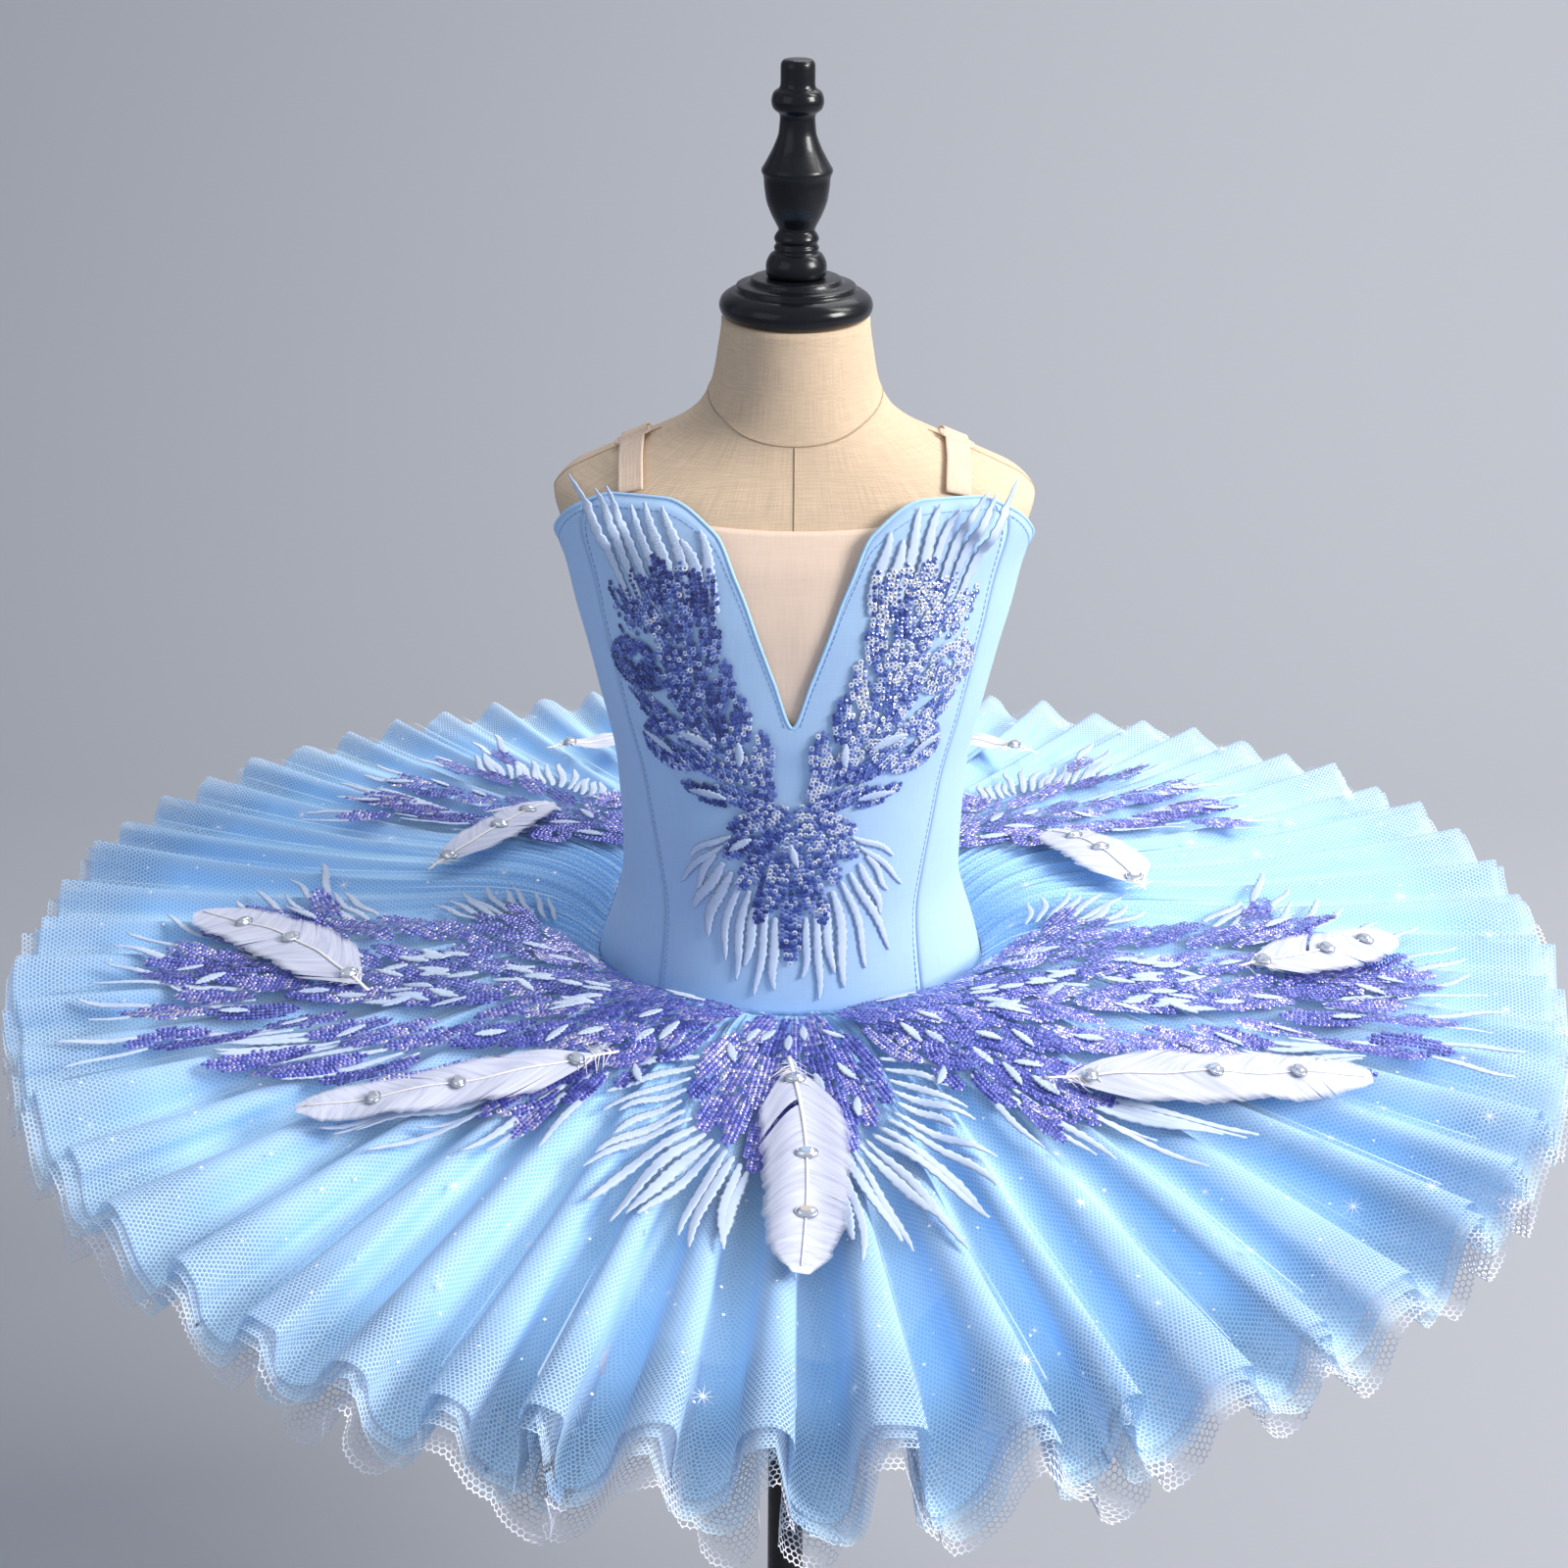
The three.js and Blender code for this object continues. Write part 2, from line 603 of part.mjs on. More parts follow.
function makeSkirtTrims() {
  const put = (name, spine, steps) => (
    makeSkirtTrim(name, spine, steps, 4, trimThickness, finishes.sequinTrim, 0.16)
  );
  put('trim_front', frontFan, 12);
  put('trim_front_left', frontWing, 14);
  put('trim_front_right', mirrored(frontWing), 14);
  put('trim_back_left', backWing, 12);
  put('trim_back_right', mirrored(backWing), 12);
  put('trim_back', backFan, 12);
}

// Feathers in plan, from quill end to tip, each with its half width.
const feathers = [
  { name: 'front', from: [0, -162], to: [6, -334], half: 26 },
  { name: 'front_left', from: [-90, -166], to: [-246, -208], half: 17 },
  { name: 'front_right', from: [132, -181], to: [298, -168], half: 22 },
  { name: 'left', from: [-226, -96], to: [-334, -6], half: 22 },
  { name: 'right', from: [246, -62], to: [338, -22], half: 20 },
  { name: 'back_left', from: [-208, 42], to: [-148, 146], half: 17 },
  { name: 'back_right', from: [202, 22], to: [154, 102], half: 23 },
  { name: 'rear_left', from: [-158, 256], to: [-50, 288], half: 14 },
  { name: 'rear_right', from: [158, 256], to: [50, 288], half: 14 },
];
const featherShape = [
  { along: 0, width: 0.1 },
  { along: 0.16, width: 0.75 },
  { along: 0.4, width: 1 },
  { along: 0.75, width: 0.92 },
  { along: 0.93, width: 0.6 },
  { along: 1, width: 0.2 },
];

function makeFeathers() {
  const steps = 8;
  const stones = [1, 4, 6]; // the steps that carry a stone
  for (const { name, from, to, half } of feathers) {
    const spine = featherShape.map(({ along, width }) => ({
      x: from[0] + (to[0] - from[0]) * along,
      y: from[1] + (to[1] - from[1]) * along,
      left: half * width,
      right: half * width,
    }));
    makeSkirtTrim(`feather_${name}`, spine, steps, 2, featherThickness, finishes.feather, 0, stones);
  }
}

// Bodice trims are drawn across and up, and lie on the front panels. Tips above the cups carry on upright.
function frontDepth(x, height) {
  const cupTop = 279;
  const level = Math.min(height, cupTop);
  let angle = 0;
  for (let pass = 0; pass < 8; pass++) {
    const r = bodyRadius(angle, level, bodiceGap(angle, level) + clothWall);
    angle = Math.asin(THREE.MathUtils.clamp(x / r, -0.98, 0.98));
  }
  return bodyRadius(angle, level, bodiceGap(angle, level) + clothWall) * Math.cos(angle);
}

const bodiceWing = [
  { x: -12, y: 120, left: 10, right: 8 },
  { x: -34, y: 146, left: 34, right: 16 },
  { x: -50, y: 176, left: 40, right: 26 },
  { x: -60, y: 210, left: 34, right: 32 },
  { x: -70, y: 244, left: 28, right: 30 },
  { x: -84, y: 272, left: 22, right: 24 },
  { x: -98, y: 298, left: 7, right: 8 },
];
const bodiceTail = [
  { x: 0, y: 114, left: 10, right: 10 },
  { x: 0, y: 98, left: 40, right: 40 },
  { x: 0, y: 76, left: 52, right: 52 },
  { x: 0, y: 44, left: 34, right: 34 },
  { x: 0, y: 10, left: 7, right: 7 },
];

function makeBodiceTrims() {
  const put = (name, spine, steps) => {
    const plan = settle(trimPlan(spine, steps, 4, 0.14), bodicePile, frontDepth);
    add(name, gridSolid(steps + 1, 5, false, (i, j, face) => {
      const { x, y, z } = plan[i][j];
      return [x, -z - face * trimThickness, skirtHeight + y];
    }), finishes.sequinTrim);
  };
  put('trim_bodice_left', bodiceWing, 12);
  put('trim_bodice_right', mirrored(bodiceWing), 12);
  put('trim_bodice_tail', bodiceTail, 10);
}

makeStand();
makeForm();
makeNeckCap();
makeBodice();
makeInsert();
makeBrief();
makeStraps();
netLayers.forEach(makeNet);
makeSkirtTrims();
makeFeathers();
makeBodiceTrims();

export default group;
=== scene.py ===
import math

import bpy
import numpy as np
from mathutils import Matrix, Vector


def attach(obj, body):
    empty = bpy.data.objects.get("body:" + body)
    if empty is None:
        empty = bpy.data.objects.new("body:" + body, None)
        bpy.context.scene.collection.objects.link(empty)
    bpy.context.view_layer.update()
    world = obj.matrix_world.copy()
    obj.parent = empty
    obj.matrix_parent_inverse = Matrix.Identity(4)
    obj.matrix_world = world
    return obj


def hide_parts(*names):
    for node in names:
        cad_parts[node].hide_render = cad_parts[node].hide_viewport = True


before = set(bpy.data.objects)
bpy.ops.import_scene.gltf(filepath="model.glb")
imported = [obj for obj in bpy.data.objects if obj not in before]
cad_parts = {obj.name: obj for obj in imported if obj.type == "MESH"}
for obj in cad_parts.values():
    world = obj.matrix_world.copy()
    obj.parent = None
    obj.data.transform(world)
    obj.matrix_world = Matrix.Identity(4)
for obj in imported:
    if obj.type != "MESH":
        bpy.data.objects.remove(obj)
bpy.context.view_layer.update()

# A child's flat ballet tutu on its dress form. Tables and sizes are in millimetres, meshes in metres.
# Angles run from the wearer's front (-Y) towards +X, and heights from the line where skirt and bodice meet.
mm = 0.001
lineHeight = 640
tau = 2 * math.pi


def say(text):
    print("tutu:", text, flush=True)


def rowsOf(columns, *rows):
    # A table: each row becomes a dictionary of the named columns.
    return [dict(zip(columns.split(), row)) for row in rows]


def addObject(name, data):
    item = bpy.data.objects.new(name, data)
    bpy.context.collection.objects.link(item)
    return item


# Camera, light and floor.
cameraView = {"place": (0.0, -1.396, 1.330), "below": 22.9, "roll": 0.5, "lens": 62.8, "shift": -0.005}
daylight = (1.0, 0.985, 0.96)
lightPlan = rowsOf(
    # "to" is the point that a light faces
    "name at to size watts color",
    ("key", (2.6, -1.05, 2.2), (0, 0, 0.75), 1.1, 122, daylight),
    ("fill", (-2.4, -2.2, 2.2), (0, 0, 0.7), 2.4, 13, (0.84, 0.92, 1.0)),
    ("back", (0.5, 1.5, 2.9), (0, 0, 0.7), 1.6, 21, (0.97, 0.98, 1.0)),
    ("wash", (1.8, 0.4, 2.9), (1.1, 3.0, 1.4), 1.4, 74, daylight))
worldLight = {"color": (0.71, 0.79, 0.95), "strength": 0.52}
floorPlan = {"wide": 7.0, "front": -4.5, "back": 1.7, "rise": 4.5, "bend": 1.3, "color": (0.345, 0.353, 0.38)}


def makeCamera():
    data = bpy.data.cameras.new("camera")
    data.lens = cameraView["lens"]
    data.shift_x = cameraView["shift"]
    camera = addObject("camera", data)
    tilt = Matrix.Rotation(math.radians(90 - cameraView["below"]), 4, "X")
    roll = Matrix.Rotation(math.radians(cameraView["roll"]), 4, "Z")
    camera.matrix_world = Matrix.Translation(cameraView["place"]) @ tilt @ roll
    bpy.context.scene.camera = camera


def makeLights():
    for plan in lightPlan:
        data = bpy.data.lights.new(plan["name"], "AREA")
        data.energy = plan["watts"]
        data.color = plan["color"]
        data.size = plan["size"]
        aim = Vector(plan["to"]) - Vector(plan["at"])
        turn = aim.to_track_quat("-Z", "Y").to_matrix().to_4x4()
        addObject(plan["name"], data).matrix_world = Matrix.Translation(plan["at"]) @ turn
    world = bpy.data.worlds.new("studio")
    world.use_nodes = True
    background = world.node_tree.nodes["Background"]
    background.inputs["Color"].default_value = (*worldLight["color"], 1)
    background.inputs["Strength"].default_value = worldLight["strength"]
    bpy.context.scene.world = world
    bpy.context.scene.view_settings.view_transform = "Standard"


# Mesh and table helpers.
def readColumn(table, key, column):
    # A smooth curve through one column of a table, which never overshoots its rows.
    keys = np.array([row[key] for row in table], float)
    values = np.array([row[column] for row in table], float)
    rises = np.diff(values) / np.diff(keys)
    slopes = np.zeros(len(keys))
    for n in range(1, len(keys) - 1):
        if rises[n - 1] * rises[n] > 0:
            slopes[n] = 2 * rises[n - 1] * rises[n] / (rises[n - 1] + rises[n])

    def read(at):
        at = np.clip(np.asarray(at, float), keys[0], keys[-1])
        i = np.clip(np.searchsorted(keys, at, side="right") - 1, 0, len(keys) - 2)
        span = keys[i + 1] - keys[i]
        t = (at - keys[i]) / span
        rise = t * t * (3 - 2 * t)
        return (values[i] * (1 - rise) + values[i + 1] * rise
                + slopes[i] * span * t * (1 - t) ** 2 + slopes[i + 1] * span * t * t * (t - 1))
    return read


def smooth(value, low, high):
    t = np.clip((np.asarray(value, float) - low) / (high - low), 0, 1)
    return t * t * (3 - 2 * t)


def meshObject(name, points, faces, uv=None, look=None, flat=False):
    mesh = bpy.data.meshes.new(name)
    mesh.from_pydata(np.asarray(points).tolist(), [], [list(f) for f in faces])
    if uv is not None:
        layer = mesh.uv_layers.new(name="cloth")
        layer.data.foreach_set("uv", np.asarray(uv, np.float32).ravel())
    if not flat:
        mesh.polygons.foreach_set("use_smooth", np.ones(len(mesh.polygons), bool))
    mesh.update()
    if look is not None:
        mesh.materials.append(look)
    return addObject(name, mesh)


def addAttribute(mesh, name, values, kind="FLOAT"):
    attribute = mesh.attributes.new(name, kind, "POINT")
    field = "value" if kind == "FLOAT" else "vector"
    attribute.data.foreach_set(field, np.asarray(values, np.float32).ravel())


def gridFaces(rows, columns, wraps=False, base=0):
    # Quads of a grid whose point (row, column) has number row * columns + column.
    r, c = np.meshgrid(np.arange(rows - 1), np.arange(columns if wraps else columns - 1), indexing="ij")
    n = (c + 1) % columns
    corners = [r * columns + c, r * columns + n, (r + 1) * columns + n, (r + 1) * columns + c]
    return (base + np.stack(corners, -1)).reshape(-1, 4)


def fanEnds(rows, columns, first):
    # Triangles that close a round grid at both ends, onto the points first and first + 1.
    top = (rows - 1) * columns
    faces = []
    for i in range(columns):
        n = (i + 1) % columns
        faces += [[first, n, i], [first + 1, top + i, top + n]]
    return faces


def gridUv(u, v):
    # The same quads' corners in the cloth's own coordinates; u has one more column where the grid wraps.
    columns = u.shape[1] - 1
    rows = u.shape[0]
    r, c = np.meshgrid(np.arange(rows - 1), np.arange(columns), indexing="ij")
    corners = [(r, c), (r, c + 1), (r + 1, c + 1), (r + 1, c)]
    return np.stack([np.stack([u[i, j], v[i, j]], -1) for i, j in corners], 2).reshape(-1, 2)


def gridPiece(name, points, look, wraps=False, uv=None, flip=False):
    # points is rows x columns x 3 in metres; uv, where given, is a pair of grids in metres.
    rows, columns = points.shape[:2]
    faces = gridFaces(rows, columns, wraps)
    corners = None if uv is None else gridUv(*uv)
    if flip:
        faces = faces[:, ::-1]
        if corners is not None:
            corners = corners.reshape(-1, 4, 2)[:, ::-1].reshape(-1, 2)
    return meshObject(name, points.reshape(-1, 3), faces, corners, look)


def gridArea(points, wraps=False):
    if wraps:
        points = np.concatenate([points, points[:, :1]], 1)
    a = points[1:, 1:] - points[:-1, :-1]
    b = points[1:, :-1] - points[:-1, 1:]
    return float(np.linalg.norm(np.cross(a, b), axis=-1).sum() / 2)


def thicken(piece, wall):
    shell = piece.modifiers.new("wall", "SOLIDIFY")
    shell.thickness = wall * mm
    shell.offset = -1  # inward


def settle(piece, replaces=()):
    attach(piece, "root")
    if replaces:
        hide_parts(*replaces)
    return piece


turnedEdge = {"rounds": 2, "share": 0.22, "most": 1.2}


def latheProfile(profile):
    # Cuts the profile's corners a little, so that turned edges catch the light.
    points = np.array(profile, float)
    for _ in range(turnedEdge["rounds"]):
        a, b = points[:-1], points[1:]
        long = np.maximum(np.linalg.norm(b - a, axis=1), 1e-6)
        cut = np.minimum(turnedEdge["share"], turnedEdge["most"] / long)[:, None]
        middle = np.stack([a + (b - a) * cut, b - (b - a) * cut], 1).reshape(-1, 2)
        points = np.concatenate([points[:1], middle[1:-1], points[-1:]])
    return points


def turned(name, profile, look, sides=96, bottom=0.0):
    points = latheProfile(profile)
    angle = np.arange(sides) / sides * tau
    ring = points[1:-1]
    grid = np.stack([ring[:, :1] * np.sin(angle), -ring[:, :1] * np.cos(angle),
                     np.repeat(ring[:, 1:], sides, 1)], -1)
    flat = grid.reshape(-1, 3)
    faces = gridFaces(len(ring), sides, True).tolist() + fanEnds(len(ring), sides, len(flat))
    flat = np.concatenate([flat, [[0, 0, points[0, 1]], [0, 0, points[-1, 1]]]])
    flat[:, 2] += bottom
    u = np.tile(np.arange(sides + 1) / sides, (len(ring), 1)) * 0.1
    v = np.repeat(ring[:, 1:] * mm, sides + 1, 1)
    caps = np.zeros((6 * sides, 2))
    return meshObject(name, flat * mm, faces, np.concatenate([gridUv(u, v), caps]), look)


# Shader helpers.
def put(tree, kind, settings=None, **values):
    node = tree.nodes.new(kind)
    for key, value in (settings or {}).items():
        setattr(node, key, value)
    for key, value in values.items():
        numbered = key[0] == "i" and key[1:].isdigit()
        fill(tree, node.inputs[int(key[1:]) if numbered else key], value)
    return node


def fill(tree, socket, value):
    if isinstance(value, bpy.types.NodeSocket):
        tree.links.new(value, socket)
    else:
        socket.default_value = value


def math2(tree, operation, a, b=0.0, clamp=False):
    return put(tree, "ShaderNodeMath", {"operation": operation, "use_clamp": clamp}, i0=a, i1=b).outputs[0]


def joinXyz(tree, x=0.0, y=0.0, z=0.0):
    return put(tree, "ShaderNodeCombineXYZ", None, X=x, Y=y, Z=z).outputs[0]


def splitXyz(tree, vector):
    return put(tree, "ShaderNodeSeparateXYZ", None, Vector=vector).outputs


def vector2(tree, operation, a, b=(0, 0, 0)):
    node = put(tree, "ShaderNodeVectorMath", {"operation": operation}, i0=a, i1=b)
    return node.outputs["Value" if operation in ("DOT_PRODUCT", "LENGTH") else "Vector"]


def mixed(tree, a, shareA, b, shareB):
    return math2(tree, "ADD", math2(tree, "MULTIPLY", a, shareA), math2(tree, "MULTIPLY", b, shareB))


def mapped(tree, value, low, high, toLow=0.0, toHigh=1.0, kind="SMOOTHSTEP"):
    return put(tree, "ShaderNodeMapRange", {"interpolation_type": kind},
               i0=value, i1=low, i2=high, i3=toLow, i4=toHigh).outputs[0]


def blend(tree, factor, a, b):
    node = tree.nodes.new("ShaderNodeMix")
    node.data_type = "RGBA"
    fill(tree, node.inputs[0], factor)
    fill(tree, node.inputs[6], (*a, 1) if isinstance(a, tuple) else a)
    fill(tree, node.inputs[7], (*b, 1) if isinstance(b, tuple) else b)
    return node.outputs[2]


def noise(tree, vector, scale, detail=2.0, rough=0.5, stretch=None):
    if stretch:
        vector = vector2(tree, "MULTIPLY", vector, stretch)
    return put(tree, "ShaderNodeTexNoise", None, Vector=vector, Scale=scale, Detail=detail,
               Roughness=rough).outputs["Fac"]


def newTree(name, kind, inputs, outputs):
    # A node group; a socket is given by its default number or by its kind.
    group = bpy.data.node_groups.new(name, kind)
    for way, sockets in (("INPUT", inputs), ("OUTPUT", outputs)):
        for label, value in sockets.items():
            kinds = {float: "Float", int: "Int"}
            socket = group.interface.new_socket(label, in_out=way,
                                                socket_type="NodeSocket" + kinds.get(type(value), str(value)))
            if type(value) in kinds:
                socket.default_value = value
    return group, group.nodes.new("NodeGroupInput").outputs, group.nodes.new("NodeGroupOutput").inputs


def netGroup():
    # Hexagonal net: 1 on the threads, 0 in the holes.
    group, given, out = newTree("hexNet", "ShaderNodeTree",
                                {"Cloth": "Vector", "Cell": 0.002, "Thread": 0.12}, {"Thread": "Float"})
    size = (1.0, math.sqrt(3), 1.0)
    half = tuple(x / 2 for x in size)
    cells = vector2(group, "DIVIDE", given["Cloth"], joinXyz(group, given["Cell"], given["Cell"], 1.0))
    first = vector2(group, "SUBTRACT", vector2(group, "MODULO", cells, size), half)
    moved = vector2(group, "ADD", cells, half)
    second = vector2(group, "SUBTRACT", vector2(group, "MODULO", moved, size), half)
    nearer = math2(group, "LESS_THAN", vector2(group, "DOT_PRODUCT", first, first),
                   vector2(group, "DOT_PRODUCT", second, second))
    pick = group.nodes.new("ShaderNodeMix")
    pick.data_type = "VECTOR"
    fill(group, pick.inputs[0], nearer)
    fill(group, pick.inputs[4], second)
    fill(group, pick.inputs[5], first)
    away = vector2(group, "ABSOLUTE", pick.outputs[1])
    slanted = vector2(group, "DOT_PRODUCT", away, (0.5, math.sqrt(3) / 2, 0))
    straight = vector2(group, "DOT_PRODUCT", away, (1, 0, 0))
    reach = math2(group, "MAXIMUM", slanted, straight)
    start = math2(group, "SUBTRACT", 0.5, given["Thread"])
    fill(group, out[0], mapped(group, reach, start, math2(group, "ADD", start, 0.05)))
    return group


def weaveGroup():
    # Plain weave from two sets of threads: Height for the bump, Shade for the colour between threads.
    group, given, out = newTree("weave", "ShaderNodeTree", {"Cloth": "Vector", "Pitch": 0.0007, "Slub": 0.3},
                                {"Height": "Float", "Shade": "Float"})
    cloth = given["Cloth"]
    parts = splitXyz(group, cloth)
    wobble = noise(group, cloth, 160.0, 1.0)
    drift = math2(group, "MULTIPLY", math2(group, "SUBTRACT", wobble, 0.5), given["Slub"])
    waves = []
    for axis in (0, 1):
        count = math2(group, "DIVIDE", parts[axis], given["Pitch"])
        turns = math2(group, "MULTIPLY", math2(group, "ADD", count, drift), tau)
        waves.append(math2(group, "SINE", turns))
    height = math2(group, "MAXIMUM", waves[0], waves[1])
    fill(group, out[0], mapped(group, height, -1.0, 1.0))
    alongThreads = noise(group, cloth, 1.0, 3.0, 0.6, (1400.0, 50.0, 1.0))
    acrossThreads = noise(group, cloth, 1.0, 3.0, 0.6, (45.0, 1200.0, 1.0))
    fill(group, out[1], mixed(group, alongThreads, 0.6, acrossThreads, 0.4))
    return group


groups = {}
looks = {}


def useGroup(tree, name, **values):
    node = tree.nodes.new("ShaderNodeGroup")
    node.node_tree = groups[name]
    for key, value in values.items():
        fill(tree, node.inputs[key], value)
    return node


def newLook(name, color, roughness, **settings):
    look = looks[name] = bpy.data.materials.new(name)
    look.use_nodes = True
    tree = look.node_tree
    shader = tree.nodes["Principled BSDF"]
    shader.inputs["Base Color"].default_value = (*color, 1)
    shader.inputs["Roughness"].default_value = roughness
    look.diffuse_color = (*color, 1)
    for key, value in settings.items():
        shader.inputs[key.replace("_", " ")].default_value = value
    return tree, shader


def clothMap(tree):
    return put(tree, "ShaderNodeUVMap", {"uv_map": "cloth"}).outputs[0]


def stored(tree, name):
    # What a mesh keeps under this name.
    return put(tree, "ShaderNodeAttribute", {"attribute_name": name}).outputs["Fac"]


def objectMap(tree):
    return tree.nodes.new("ShaderNodeTexCoord").outputs["Object"]


def bumpInto(tree, shader, height, distance, strength=1.0):
    node = put(tree, "ShaderNodeBump", None, Height=height, Distance=distance, Strength=strength)
    tree.links.new(node.outputs[0], shader.inputs["Normal"])


# Finishes.
netFinishes = rowsOf(
    # haze is how closed the cloth looks away from the hem and at the hem; veil is how solid its threads are
    "name thread hole cell width open haze hem tint veil",
    ("blueTop", (0.58, 0.77, 0.95), (0.13, 0.43, 0.86), 2.4, 0.15, 0.45, (1.0, 0.34), (0.275, 0.318),
     (0.56, 0.73, 0.93), 0.95),
    ("blueSecond", (0.58, 0.76, 0.95), (0.15, 0.43, 0.88), 2.4, 0.14, 0.4, (1.0, 0.24), (0.28, 0.322),
     (0.56, 0.73, 0.93), 0.92),
    ("blueMiddle", (0.72, 0.88, 1.0), (0.22, 0.50, 0.92), 2.6, 0.14, 0.35, (1.0, 0.10), (0.285, 0.325),
     (0.70, 0.82, 0.95), 0.88),
    ("stiffWhite", (0.84, 0.84, 0.90), (0.5, 0.56, 0.74), 3.3, 0.12, 0.5, (1.0, 0.0), (0.27, 0.312),
     (0.86, 0.86, 0.92), 0.95))
sheerFinishes = rowsOf(
    # a sheer net is too fine to show single threads
    "name thread veil",
    ("glitterCover", (0.66, 0.82, 0.98), 0.037), ("trimTulle", (0.72, 0.84, 0.98), 0.039))
# Colours that the fold attribute paints on the blue nets: painted shade, darker and greyer, on the pleats'
# crests, and painted light, paler, in their valleys. netStreak is a darker streak tone.
netCrestPaintedShade = (0.37, 0.49, 0.67)
netValleyPaintedLight = (0.68, 0.93, 1.0)
netStreak = (0.14, 0.38, 0.80)


def newNet(plan):
    tree, shader = newLook(plan["name"], plan["thread"], 0.8, Sheen_Weight=0.12, Sheen_Roughness=0.5,
                           Specular_IOR_Level=0.2)
    facing = put(tree, "ShaderNodeLayerWeight", None, Blend=0.35).outputs["Facing"]
    return tree, shader, facing, mapped(tree, facing, 0.72, 0.95)


def sheerLook(plan):
    tree, shader, _, glancing = newNet(plan)
    fill(tree, shader.inputs["Alpha"], math2(tree, "MAXIMUM", plan["veil"], glancing))


def netLook(plan):
    tree, shader, facing, glancing = newNet(plan)
    cloth = clothMap(tree)
    net = useGroup(tree, "hexNet", Cloth=cloth, Cell=plan["cell"] * mm, Thread=plan["width"]).outputs[0]
    threads = math2(tree, "MAXIMUM", math2(tree, "MULTIPLY", net, plan["veil"]), glancing)
    hem = mapped(tree, splitXyz(tree, cloth)[1], *plan["hem"])
    haze = mapped(tree, hem, 0.0, 1.0, *plan["haze"], "LINEAR")
    color = blend(tree, 0.46, plan["hole"], plan["thread"])

    def tinted(value, low, high, most, tint):
        return blend(tree, mapped(tree, value, low, high, 0.0, most), color, tint)
    color = tinted(noise(tree, objectMap(tree), 9.0, 3.0), 0.35, 0.7, 0.14, plan["tint"])
    if plan["name"].startswith("blue"):
        # Painted light and shade by the fold attribute: paler in the valleys, darker on the crests.
        fold = stored(tree, "fold")
        streaks = noise(tree, cloth, 1.0, 3.0, 0.6, (190.0, 9.0, 1.0))
        color = tinted(fold, 0.55, 0.05, 0.9, netValleyPaintedLight)
        color = tinted(fold, 0.55, 0.95, 0.75, netCrestPaintedShade)
        color = tinted(streaks, 0.42, 0.75, 0.26, plan["tint"])
        color = tinted(streaks, 0.5, 0.25, 0.20, netStreak)
    # Paler where the net turns edge-on to the camera: a painted sheen.
    color = tinted(facing, 0.4, 1.0, 0.4, plan["tint"])
    color = blend(tree, math2(tree, "MULTIPLY", hem, 0.4), color, plan["tint"])
    between = blend(tree, plan["open"], color, plan["hole"])
    color = blend(tree, net, between, blend(tree, 0.4, color, plan["thread"]))
    fill(tree, shader.inputs["Base Color"], color)
    fill(tree, shader.inputs["Alpha"], math2(tree, "MAXIMUM", threads, haze))


def clothLook(name, color, pitch, depth, slub=0.3, shade=0.12, sheen=0.2, rough=0.88):
    tree, shader = newLook(name, color, rough, Sheen_Weight=sheen, Sheen_Roughness=0.45,
                           Specular_IOR_Level=0.2)
    weave = useGroup(tree, "weave", Cloth=clothMap(tree), Pitch=pitch * mm, Slub=slub)
    light = tuple(min(1.0, c * (1 + shade)) for c in color)
    dark = tuple(c * (1 - shade * 1.6) for c in color)
    worn = noise(tree, objectMap(tree), 7.0, 3.0)
    tone = mixed(tree, weave.outputs["Shade"], 0.75, worn, 0.25)
    base = blend(tree, mapped(tree, tone, 0.36, 0.64), dark, light)
    # Painted shade: darker between the threads, where the weave lies low.
    gapShade = mapped(tree, weave.outputs["Height"], 0.0, 0.5, 0.3, 0.0)
    fill(tree, shader.inputs["Base Color"], blend(tree, gapShade, base, dark))
    bumpInto(tree, shader, weave.outputs["Height"], depth * mm, 0.7)


def lacquerLook(name, color, rough, metal=0.0):
    tree, shader = newLook(name, color, rough, Metallic=metal, Coat_Weight=0.15, Coat_Roughness=0.1,
                           Specular_IOR_Level=0.25)
    place = objectMap(tree)
    dust = noise(tree, place, 22.0, 5.0, 0.7)
    rings = noise(tree, place, 1.0, 2.0, 0.5, (6.0, 6.0, 420.0))
    fill(tree, shader.inputs["Roughness"], mapped(tree, dust, 0.3, 0.75, rough * 0.7, rough * 1.7))
    pale = tuple(c + 0.005 for c in color)
    fill(tree, shader.inputs["Base Color"], blend(tree, mapped(tree, dust, 0.52, 0.8, 0.0, 0.5), color, pale))
    bumpInto(tree, shader, rings, 0.0002, 0.35)


sequinTones = {
    # each stop of the colour ramp, whose palest stops are painted glints, and the colour round the hole: its
    # edge, and painted shade in the cup's middle
    "sequinViolet": {
        "ramp": [(0.02, (0.04, 0.05, 0.34)), (0.28, (0.11, 0.13, 0.60)), (0.55, (0.24, 0.24, 0.76)),
                 (0.78, (0.52, 0.46, 0.84)), (0.96, (0.90, 0.86, 0.98))],
        "eye": (0.04, 0.04, 0.30)},
    "sequinIndigo": {
        "ramp": [(0.02, (0.02, 0.03, 0.20)), (0.28, (0.06, 0.10, 0.42)), (0.52, (0.16, 0.24, 0.64)),
                 (0.74, (0.44, 0.54, 0.88)), (0.9, (0.95, 0.96, 1.0))],
        "eye": (0.02, 0.03, 0.2)},
}


